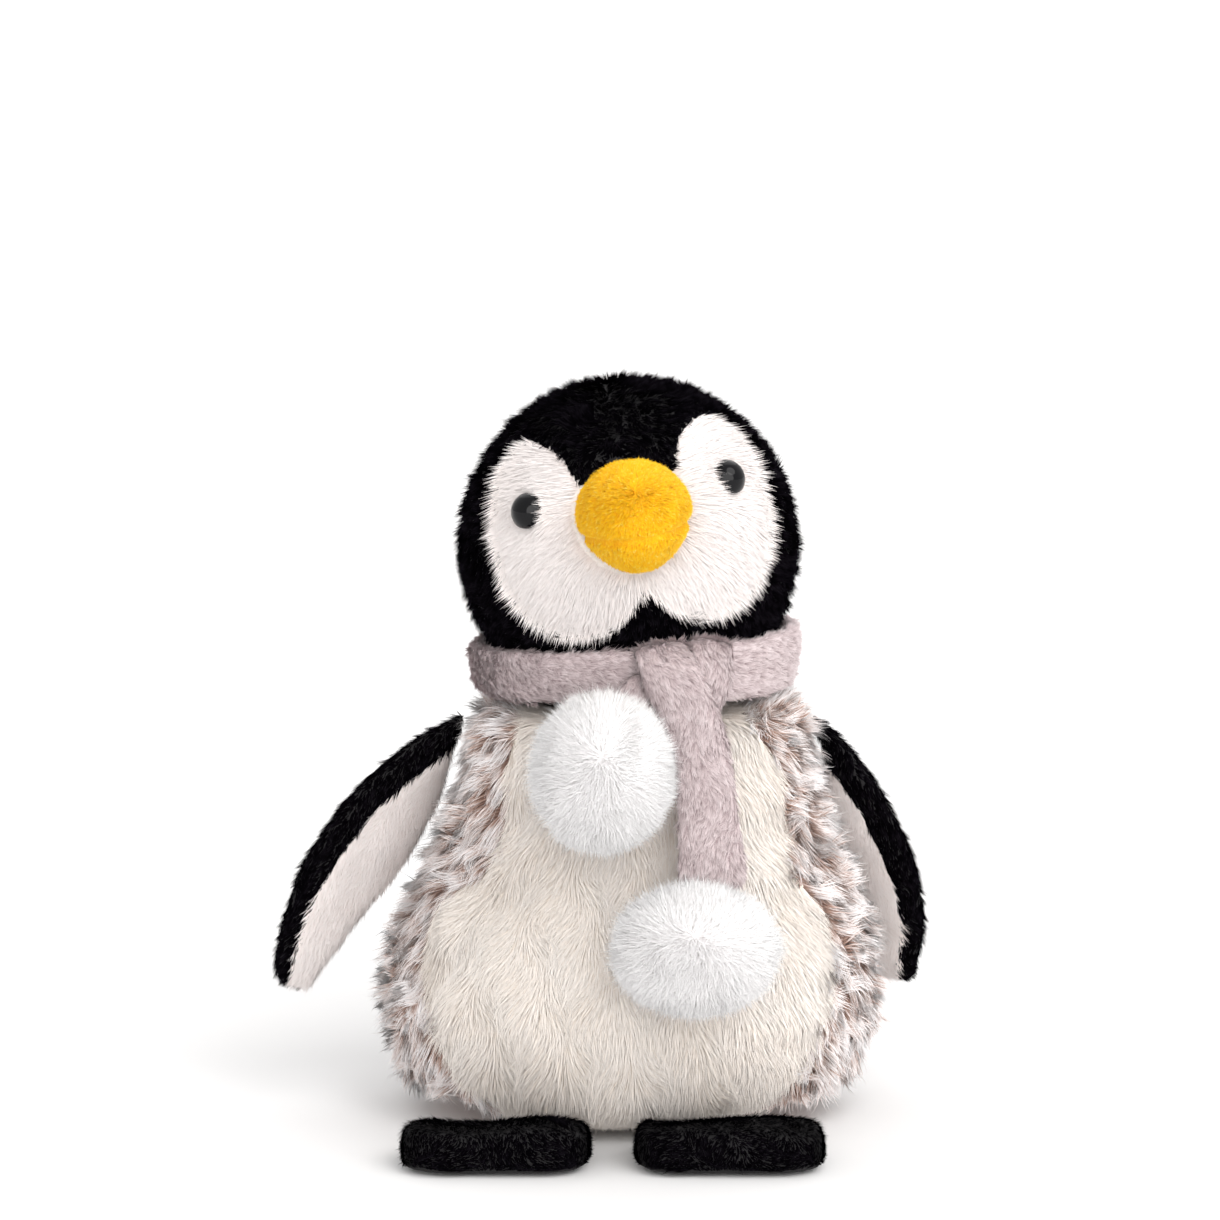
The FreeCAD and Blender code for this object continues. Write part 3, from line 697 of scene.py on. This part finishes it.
scarf_pile = pile_material("scarf_pile", (0.0, srgb(154, 136, 138)), (0.5, srgb(202, 187, 188)),
                           (1.0, srgb(230, 219, 220)), patch_scale=0.35, patch_share=0.5, rigid=False)
pompom_pile = pile_material("pompom_pile", (0.0, srgb(240, 236, 235)), (0.4, srgb(252, 250, 250)),
                            (1.0, srgb(255, 255, 255)), patch_share=0.25)


# ---------------------------------------------------------------- sizes of the stuffed parts

NECK_DEPTH = 50 * MM       # no pile grows on the head further than this below the neck point
FACE_MARGIN = 2.4 * MM     # black plush is clipped short this near the white patches
EYE_MOUND = 2.2 * MM       # how far the plush rises on the inner side of an eye
EYE_REACH = 5.4 * MM       # plush stays this far from an eye's middle on its outer side
EYE_OVERLAP = 3.0 * MM     # and comes this much nearer on its inner side
BEAK_SEAM = 12.6 * MM      # height of the mouth line above the neck point
BEAK_TAPER = 0.16          # how much the lower half of the beak is drawn in
BEAK_REACH = 52 * MM       # the beak shows beyond this distance from the neck point
HEM_HEIGHT = 14 * MM       # the body draws in below this height
HEM_TUCK = 0.3             # by this share at the floor
BODY_REACH = 62 * MM       # fur grows on the body beyond this distance from the neck point
BODY_TOP = 152 * MM        # and below this height, under the scarf
BELLY_REACH = 61 * MM      # the same two for the belly
BELLY_TOP = 156 * MM
BACK_ANGLE = 112           # degrees from the front where the back fur's pieces begin


# ---------------------------------------------------------------- putting a skin and its piles together

def paint(skin, materials, number_of=None):
    """Gives each face of a skin the material that number_of picks for its middle, or the first."""
    mesh = skin.data
    for material in materials:
        mesh.materials.append(material)
    if number_of is None:
        return
    centres = np.empty(len(mesh.polygons) * 3, np.float32)
    mesh.polygons.foreach_get("center", centres)
    numbers = number_of(centres.reshape(-1, 3).astype(float))
    mesh.polygons.foreach_set("material_index", numbers.astype(np.int32))
    mesh.update()


def settle(piece, body):
    """Puts a finished piece on its body."""
    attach(piece, body)
    return piece


def push(skin, amount):
    """Moves a skin's points inwards along their normals, by an amount for each."""
    points = mesh_points(skin.data)
    normals = mesh_normals(skin.data)
    set_points(skin.data, points - normals * np.asarray(amount).reshape(-1, 1))


def fade(values, low, high):
    """0 below low, 1 above high, smooth between."""
    share = np.clip((values - low) / (high - low), 0, 1)
    return share * share * (3 - 2 * share)


def make_head():
    """The head's skin, ready to be filled."""
    skin = wrap("head_skin", ["head_side_left", "head_side_right", "chin_panel", "face_patch_left",
                              "face_patch_right", "head_stuffing"], 4 * MM, 1.2 * MM, 3)
    stuffed.append(skin)
    return skin


def finish_head(skin):
    """The head's piles: black, with the two white face patches round the eyes."""
    random = np.random.default_rng(11)
    subdivide(skin)
    points = mesh_points(skin.data)
    away, inner = near_eye(points)
    lift = EYE_MOUND * inner * (1 - fade(away, 5 * MM, 13 * MM))
    push(skin, np.where(on_face(points), 1.3 * MM, 0.0) - lift)
    paint(skin, [black_backing, white_backing], on_face)
    settle(skin, "head")
    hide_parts("head_side_left", "head_side_right", "chin_panel", "face_patch_left",
                "face_patch_right", "head_stuffing")

    roots, normals = scatter(skin.data, 0.5 * MM, random)
    local = in_head(roots)
    black = ~on_face(roots) & ~in_beak(roots) & (local[:, 2] > -NECK_DEPTH)
    across = 0.8 * np.clip(local[:, 0] / (20 * MM), -1, 1)
    comb = np.column_stack([across, np.full(len(roots), 0.1), np.full(len(roots), -0.9)])
    comb = swirled(comb @ HEAD_AXES.T, roots, normals, 0.9, 16 * MM, random)
    scale = np.where(near_face(roots, FACE_MARGIN), 0.45, 1.0)[:, None]
    for name, side in (("head_pile_left", local[:, 0] >= 0), ("head_pile_right", local[:, 0] < 0)):
        chosen = black & side
        pile = grow(name, roots[chosen], normals[chosen], comb[chosen], black_pile, random,
                    length=4.4 * MM * scale[chosen], width=0.42 * MM, lean=0.55, mess=0.25,
                    segments=1, tuft_share=0.06, pull=0.5, shine=0.3)
        settle(pile, "head")

    roots, normals = scatter(skin.data, 0.33 * MM, random)
    chosen = on_face(roots) & ~in_beak(roots)
    roots, normals = roots[chosen], normals[chosen]
    local = in_head(roots)
    beak_place = np.array([0, -52, 14]) * MM
    comb = unit((local - beak_place) * np.array([1, 0.3, 1])) + np.array([0, 0, -0.55])
    comb = swirled(comb @ HEAD_AXES.T, roots, normals, 0.2, 14 * MM, random)
    away, inner = near_eye(roots)
    clear = EYE_REACH - EYE_OVERLAP * inner
    scale = 0.65 + 0.35 * fade(away, 5 * MM, 10 * MM)
    kept = away > clear
    for name, side in (("face_pile_left", local[:, 0] >= 0), ("face_pile_right", local[:, 0] < 0)):
        part = kept & side
        pile = grow(name, roots[part], normals[part], comb[part], white_pile, random,
                    length=4.8 * MM * scale[part][:, None], width=0.26 * MM, lean=0.66, mess=0.11,
                    segments=2, shine=0.12)
        settle(pile, "head")


def near_eye(points):
    """How far points lie from the nearer eye's axis, and how far on its inner side, 0 to 1."""
    away = np.full(len(points), 1.0)
    inner = np.zeros(len(points))
    for eye in ("eye_left", "eye_right"):
        centre = centre_of(eye)
        distance = np.linalg.norm(np.cross(points - centre, unit(centre - HEAD)), axis=1)
        offset = in_head(points)[:, 0] - in_head(centre[None, :])[0, 0]
        inwards = offset * (-1 if eye == "eye_left" else 1)
        nearer = distance < away
        away = np.where(nearer, distance, away)
        inner = np.where(nearer, fade(inwards, 0.5 * MM, 3.5 * MM), inner)
    return away, inner


def in_beak(points):
    """Whether head points lie where the beak is sewn on."""
    low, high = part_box("beak_upper")
    across = (high - low)[0] / 2
    local = in_head(points)
    middle = in_head(centre_of("beak_stuffing")[None, :])[0]
    distance = np.hypot(local[:, 0] - middle[0], local[:, 2] - middle[2])
    return (distance < across * 0.93) & (local[:, 1] < 0)


def make_torso():
    """The body's skin, filled between its seams."""
    skin = wrap("torso_skin", ["base_panel", "belly_panel", "body_side_left", "body_side_right",
                               "body_stuffing"], 4.5 * MM, 0, 3)
    points = mesh_points(skin.data)
    normals = mesh_normals(skin.data)
    depth = np.where(on_belly(points), 4.0 * MM, 5.8 * MM)[:, None]
    depth -= (depth - 2.5 * MM) * fade(points[:, 2:], 112 * MM, 136 * MM)
    flat = normals[:, 2:] < -0.7
    points -= normals * np.where(flat, 0.6 * MM, depth)
    points[:, :2] *= 1 - HEM_TUCK * (1 - fade(points[:, 2:], 0, HEM_HEIGHT))
    set_points(skin.data, points)
    relax(skin.data, 2)
    stuffed.append(skin)
    return skin


def finish_torso(skin):
    """The body's piles: frosted fur at the sides and back, cream on the belly."""
    random = np.random.default_rng(21)
    subdivide(skin)

    def panel(points):
        """0 for the fur, 1 for the belly, 2 for the base."""
        base = (points[:, 2] < 3 * MM).astype(int) * 2
        return np.maximum(on_belly(points).astype(int), base)

    paint(skin, [fur_backing, cream_backing, base_cloth], panel)
    settle(skin, "torso")
    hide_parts("base_panel", "belly_panel", "body_side_left", "body_side_right", "body_stuffing")

    roots, normals = scatter(skin.data, 0.58 * MM, random)
    open_air = (np.linalg.norm(roots - HEAD, axis=1) > BODY_REACH) & (normals[:, 2] > -0.8)
    open_air &= roots[:, 2] < BODY_TOP
    side = open_air & ~on_belly(roots)
    angle = np.degrees(np.arctan2(roots[:, 0], -roots[:, 1]))
    parts = {
        "side_fur_left": side & (angle >= 0) & (angle < BACK_ANGLE),
        "side_fur_right": side & (angle < 0) & (angle >= -BACK_ANGLE),
        "back_fur_left": side & (angle >= BACK_ANGLE),
        "back_fur_right": side & (angle < -BACK_ANGLE),
    }
    comb = np.sign(roots[:, :1]) * np.array([[0.3, 0.12, 0]]) - UP
    comb = swirled(comb, roots, normals, 1.1, 8 * MM, random)
    for name, chosen in parts.items():
        pile = grow(name, roots[chosen], normals[chosen], comb[chosen], fur_pile, random,
                    length=7.5 * MM, width=0.36 * MM, lean=0.6, mess=0.26, segments=3,
                    tuft_share=0.018, pull=0.7, droop=0.2, shine=0.2, curl=0.12, gather=0.22)
        settle(pile, "torso")

    roots, normals = scatter(skin.data, 0.44 * MM, random)
    chosen = on_belly(roots) & (np.linalg.norm(roots - HEAD, axis=1) > BELLY_REACH)
    chosen &= roots[:, 2] < BELLY_TOP
    roots, normals = roots[chosen], normals[chosen]
    comb = roots[:, :1] / (65 * MM) * np.array([[0.35, 0, 0]]) - UP
    comb = swirled(comb, roots, normals, 0.45, 16 * MM, random)
    scale = 0.35 + 0.65 * fade(roots[:, 2:], 2 * MM, HEM_HEIGHT)
    for name, part in (("belly_pile_left", roots[:, 0] >= 0), ("belly_pile_right", roots[:, 0] < 0)):
        pile = grow(name, roots[part], normals[part], comb[part], cream_pile, random,
                    length=6.5 * MM * scale[part], width=0.30 * MM, lean=0.7, mess=0.11,
                    segments=2, shine=0.12)
        settle(pile, "torso")


def make_wing(side):
    """A wing's skin, ready to be filled."""
    skin = wrap(f"wing_{side}_skin", [f"wing_{side}_outer", f"wing_{side}_inner",
                                      f"wing_{side}_wadding"], 2.5 * MM, 1.3 * MM, 2)
    stuffed.append(skin)
    return skin


def finish_wing(skin, side):
    """A wing's piles: black outside and white inside, combed towards the tip."""
    random = np.random.default_rng(31 if side == "left" else 32)
    subdivide(skin)
    covers = [f"wing_{side}_outer", f"wing_{side}_inner"]
    paint(skin, [black_backing, white_backing], lambda points: nearest_node(points, covers))
    body = f"wing_{side}"
    settle(skin, body)
    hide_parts(*covers, f"wing_{side}_wadding")
    hinge = joint_place(f"wing_{side}_lift")
    roots, normals = scatter(skin.data, 0.5 * MM, random)
    panel = nearest_node(roots, covers)
    low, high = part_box(covers[0])
    tip = np.array([high[0] if side == "left" else low[0], 0, low[2]])
    comb = swirled(tip - hinge, roots, normals, 0.4, 14 * MM, random)
    for number, (name, material, slot, length, tufts) in enumerate((
            ("outer", black_pile, "black_plush", 3.4, 0.06),
            ("inner", white_pile, "white_plush", 3.2, 0))):
        chosen = panel == number
        pile = grow(f"wing_{side}_{name}_pile", roots[chosen], normals[chosen], comb[chosen],
                    material, random, length=length * MM, width=0.34 * MM, lean=0.66, mess=0.15,
                    segments=1, tuft_share=tufts, pull=0.35, shine=0.15)
        settle(pile, body)


def make_foot(side):
    """A foot's skin, a little uneven, ready to be filled."""
    skin = wrap(f"foot_{side}_skin", [f"foot_{side}_upper", f"foot_{side}_sole",
                                      f"foot_{side}_filling"], 2.5 * MM, 0.9 * MM, 5)
    random = np.random.default_rng(43 if side == "left" else 44)
    points = mesh_points(skin.data)
    points[:, 2] += 1.1 * MM * ripples(points, 34 * MM, random)[:, 2] * fade(points[:, 2], 0, 12 * MM)
    set_points(skin.data, points)
    stuffed.append(skin)
    return skin


def finish_foot(skin, side):
    """A foot's black pile, combed outwards and forwards."""
    random = np.random.default_rng(41 if side == "left" else 42)
    subdivide(skin)
    paint(skin, [black_backing])
    body = f"foot_{side}"
    settle(skin, body)
    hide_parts(f"foot_{side}_upper", f"foot_{side}_sole", f"foot_{side}_filling")
    roots, normals = scatter(skin.data, 0.5 * MM, random)
    chosen = (normals[:, 2] > -0.5) & (roots[:, 2] > 0.8 * MM)
    middle = centre_of(f"foot_{side}_upper")
    comb = unit((roots - middle) * np.array([1, 1, 0])) + np.array([0, -0.6, -0.2])
    comb = swirled(comb, roots, normals, 0.6, 14 * MM, random)
    pile = grow(f"foot_{side}_pile", roots[chosen], normals[chosen], comb[chosen], black_pile, random,
                length=2.4 * MM, width=0.38 * MM, lean=0.6, mess=0.15, segments=1,
                tuft_share=0.1, pull=0.2, gather=0.1, shine=0.1)
    settle(pile, body)


def make_beak():
    """The beak's skin. It is firm, so no simulation fills it."""
    return wrap("beak_skin", ["beak_upper", "beak_lower", "beak_stuffing"], 2.0 * MM, 0.5 * MM, 2)


def finish_beak(skin):
    """The beak's velour, with its lower half drawn in and a groove along the seam."""
    random = np.random.default_rng(51)
    subdivide(skin)
    local = in_head(mesh_points(skin.data))
    middle = in_head(centre_of("beak_stuffing")[None, :])[0, 0]
    below = fade(BEAK_SEAM - local[:, 2], -6 * MM, 14 * MM)
    local[:, 0] = middle + (local[:, 0] - middle) * (1 - BEAK_TAPER * below)
    set_points(skin.data, HEAD + local @ HEAD_AXES.T)
    push(skin, 1.3 * MM * np.exp(-((local[:, 2] - BEAK_SEAM) / (1.4 * MM)) ** 2))
    paint(skin, [beak_backing])
    settle(skin, "head")
    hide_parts("beak_upper", "beak_lower", "beak_stuffing")
    roots, normals = scatter(skin.data, 0.27 * MM, random)
    reach = np.linalg.norm(roots - HEAD, axis=1)
    chosen = reach > BEAK_REACH
    local = in_head(roots[chosen])
    comb = swirled(0.5 * HEAD_Y - HEAD_Z, roots[chosen], normals[chosen], 0.3, 6 * MM, random)
    scale = 0.35 + 0.65 * fade(np.abs(local[:, 2] - BEAK_SEAM), 0.5 * MM, 1.9 * MM)
    pile = grow("beak_pile", roots[chosen], normals[chosen], comb, beak_pile, random,
                length=1.4 * MM * scale[:, None], width=0.26 * MM, lean=0.54, mess=0.2, segments=1,
                shine=0.35, tuft_share=0.16, pull=0.4, gather=0.3)
    settle(pile, "head")


def make_pompom(kind):
    """A ball of long fur."""
    random = np.random.default_rng(61 if kind == "long" else 62)
    cover = f"pompom_{kind}_cover"
    skin = wrap(f"pompom_{kind}_skin", [cover, f"pompom_{kind}_stuffing"], 3.0 * MM, 3.6 * MM, 2)
    subdivide(skin)
    paint(skin, [pompom_backing])
    body = f"{kind}_pompom"
    settle(skin, body)
    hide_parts(cover, f"pompom_{kind}_stuffing")
    roots, normals = scatter(skin.data, 0.27 * MM, random)
    comb = swirled(np.array([0, 1, -0.4]), roots, normals, 0.6, 10 * MM, random)
    pile = grow(f"pompom_{kind}_pile", roots, normals, comb, pompom_pile, random,
                length=5.8 * MM, width=0.30 * MM, lean=0.42, mess=0.22, segments=1,
                spread=0.2, droop=0.1, shine=0.1, corners=3)
    settle(pile, body)


def flat_tube(name, path, facing, widths, thickness, closed=False):
    """A sewn strip of fleece: a soft flat tube along a path, facing outwards."""
    sides = 20
    steps = 6
    stations = smooth_line(np.column_stack([path, facing, widths]), steps, closed)
    centre = stations[:, :3] * MM
    outward = unit(stations[:, 3:6])
    half_width = stations[:, 6:7] * MM / 2
    if closed:
        along = unit(np.roll(centre, -1, axis=0) - np.roll(centre, 1, axis=0))
    else:
        along = unit(np.gradient(centre, axis=0))
        ends = np.minimum(np.arange(len(centre)), np.arange(len(centre))[::-1])[:, None]
        half_width = half_width * np.minimum(1, 0.72 + 0.14 * ends)
    outward = unit(outward - (outward * along).sum(axis=1, keepdims=True) * along)
    across = np.cross(along, outward)
    turn = np.arange(sides) / sides * 2 * math.pi
    wide = np.sign(np.cos(turn)) * np.abs(np.cos(turn)) ** 0.7
    thick = np.sign(np.sin(turn)) * np.abs(np.sin(turn)) ** 0.85
    rings = (centre[:, None, :] + across[:, None, :] * half_width[:, None, :] * wide[None, :, None]
             + outward[:, None, :] * (thickness * MM / 2) * thick[None, :, None])
    count = len(centre)
    faces = []
    for ring in range(count if closed else count - 1):
        here, after = ring * sides, (ring + 1) % count * sides
        for k in range(sides):
            beside = (k + 1) % sides
            faces.append((here + k, here + beside, after + beside, after + k))
    if not closed:
        faces.append(tuple(range(sides))[::-1])
        faces.append(tuple((count - 1) * sides + k for k in range(sides)))
    mesh = bpy.data.meshes.new(name)
    mesh.from_pydata(rings.reshape(-1, 3).tolist(), [], faces)
    mesh.update()
    shape = bmesh.new()
    shape.from_mesh(mesh)
    bmesh.ops.recalc_face_normals(shape, faces=shape.faces)
    shape.to_mesh(mesh)
    shape.free()
    mesh.polygons.foreach_set("use_smooth", np.ones(len(mesh.polygons), bool))
    return new_piece(name, mesh), centre, along


def scarf_loop_path():
    """The loop's middle line round the neck, with the way it faces and its width."""
    low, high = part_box("scarf_loop")
    radius = (high - low)[0] / 2 / MM - 3.2
    middle = (high + low)[0] / 2 / MM
    path, facing, widths = [], [], []
    # angle from the front towards the penguin's left, height of the middle, width
    for angle, height, width in ((-90, 151.2, 15), (-45, 152.8, 16.5), (0, 155, 17),
                                 (45, 155.5, 19), (90, 155.2, 20.5), (135, 155, 20),
                                 (180, 154, 19), (-135, 152, 17.5)):
        turn = math.radians(angle)
        way = np.array([math.sin(turn), -math.cos(turn), 0])
        path.append(np.array([middle, 0, height]) + way * radius)
        facing.append(way - 0.12 * UP)
        widths.append([width])
    return path, facing, widths


def make_scarf():
    """The loop, the fold at the knot and the two tails, as soft strips with a short pile."""
    random = np.random.default_rng(71)
    loop = scarf_loop_path()
    front = (0, -1, 0.05)
    tail_path = [(9, -47, 160), (10.5, -54, 164), (12.5, -59.5, 160), (15.5, -61.5, 153),
                 (19.5, -61.5, 145), (23.3, -63, 134), (25, -66, 120), (26.6, -69.5, 104),
                 (27.2, -73, 90)]
    tail_facing = [(0, 0.3, 1), (0, -0.5, 1), (0, -1, 0.3), front, front, front, front, front, front]
    tail_widths = [[16], [17], [18], [19], [18.5], [17.5], [18], [20], [22]]
    fold_path = [(26, -42, 162), (27, -49.5, 165), (27, -54.5, 160), (26, -56.5, 153),
                 (23.5, -57, 147.5), (20, -54.5, 144)]
    fold_facing = [(0, 0.3, 1), (0.2, -0.6, 0.8), (0.4, -1, 0.2), (0.4, -1, 0), (0.3, -1, -0.3),
                   (0.2, -1, -0.8)]
    fold_widths = [[12], [14], [14], [14], [13], [12]]
    short_path = [(9, -55, 152), (5, -58.5, 147), (2, -60, 141), (0, -61, 135)]
    short_widths = [[16], [17], [17], [17]]
    strips = (
        ("scarf_loop", loop, 5.0, True, "torso", None, (0.0195, 0.33), "gathered",
         ["torso_skin"], ["scarf_loop"]),
        ("scarf_fold", (fold_path, fold_facing, fold_widths), 4.0, False, "torso", None,
         (0.0175, 0.033), "folded", ["scarf_loop_strip"], []),
        ("scarf_long_tail", (tail_path, tail_facing, tail_widths), 4.5, False, "torso",
         ("long_tail", (21, -61.5, 148), (23.5, -63, 138)), (0.0215, 0.098), "hung",
         ["scarf_loop_strip"], ["scarf_long_tail", "scarf_crossover"]),
        ("scarf_short_tail", (short_path, [front] * 4, short_widths), 4.0, False, "torso",
         ("short_tail", (5, -58.5, 148), (2, -60, 142)), (0.0175, 0.02), "hung",
         ["scarf_loop_strip"], ["scarf_short_tail"]),
    )
    for name, line, thickness, closed, body, bend, flat, held, rests_on, nodes in strips:
        strip, centre, along = flat_tube(f"{name}_strip", *line, thickness, closed)
        subdivide(strip)
        push(strip, 0.35 * MM * ripples(mesh_points(strip.data), 13 * MM, random)[:, 0])
        paint(strip, [scarf_backing])
        roots, normals = scatter(strip.data, 0.36 * MM, random)
        tree = KDTree(len(centre))
        for index, point in enumerate(centre):
            tree.insert(Vector(point), index)
        tree.balance()
        comb = along[[tree.find(Vector(root))[1] for root in roots]] + np.array([[0, 0, -0.3]])
        comb = swirled(comb, roots, normals, 0.3, 20 * MM, random)
        pile = grow(f"{name}_pile", roots, normals, comb, scarf_pile, random, length=2.8 * MM,
                    width=0.32 * MM, lean=0.66, mess=0.24, segments=1, tuft_share=0.05, pull=0.5,
                    shine=0.3, gather=0.3)
        for piece in (strip, pile):
            if bend:
                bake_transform(piece)
            else:
                settle(piece, body)
        if nodes:
            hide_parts(*nodes)


# ---------------------------------------------------------------- carried-over CAD nodes

def eye_material():
    """Black moulded plastic, polished, with faint wear."""
    n = Nodes("eye_plastic")
    place = n.place()
    wear = n.noise(place, 1.2, 4)
    n.shader.inputs["Base Color"].default_value = (*srgb(6, 6, 9), 1)
    n.put(n.shader.inputs["Roughness"], n.maths("ADD", n.maths("MULTIPLY", wear, 0.10), 0.06))
    n.shader.inputs["Specular IOR Level"].default_value = 0.2
    n.shader.inputs["Coat Weight"].default_value = 0.12
    n.shader.inputs["Coat Roughness"].default_value = 0.05
    return n.material


def dress_node(node, material):
    """Gives a carried-over CAD node its material."""
    mesh = NODES[node].data
    for index in range(len(mesh.materials)):
        mesh.materials[index] = material
    if not mesh.materials:
        mesh.materials.append(material)


def dress_inner_parts():
    """Materials of the CAD nodes that stay."""
    eye = eye_material()
    washer = backing_material("washer_plastic", srgb(214, 214, 216), srgb(238, 238, 240), 3.0, 0.05, 0)
    fibre = backing_material("polyester_fibre", srgb(222, 222, 224), srgb(248, 248, 250), 0.5, 0.8, 0.5)
    calico = backing_material("calico", srgb(212, 200, 176), srgb(232, 222, 202), 2.2, 0.3, 0.1)
    pellets = backing_material("pellet_plastic", srgb(200, 204, 208), srgb(240, 242, 244), 0.35, 1.0, 0)
    thread = backing_material("thread", srgb(8, 8, 10), srgb(30, 28, 32), 3.0, 0.5, 0.1)
    for node, material in (
            ("eye_left", eye), ("eye_right", eye), ("eye_washer_left", washer),
            ("eye_washer_right", washer), ("neck_stuffing", fibre), ("pellet_bag", calico),
            ("pellets", pellets), ("neck_drawstring", thread)):
        dress_node(node, material)


base_cloth = backing_material("base_cloth", srgb(150, 130, 122), srgb(190, 172, 166))
stuffed = []
make_camera()
make_stage()
head = make_head()
torso = make_torso()
wings = {side: make_wing(side) for side in ("left", "right")}
feet = {side: make_foot(side) for side in ("left", "right")}
stuff(stuffed)
finish_head(head)
finish_torso(torso)
for side in ("left", "right"):
    finish_wing(wings[side], side)
    finish_foot(feet[side], side)
finish_beak(make_beak())
for kind in ("long", "short"):
    make_pompom(kind)
make_scarf()
dress_inner_parts()
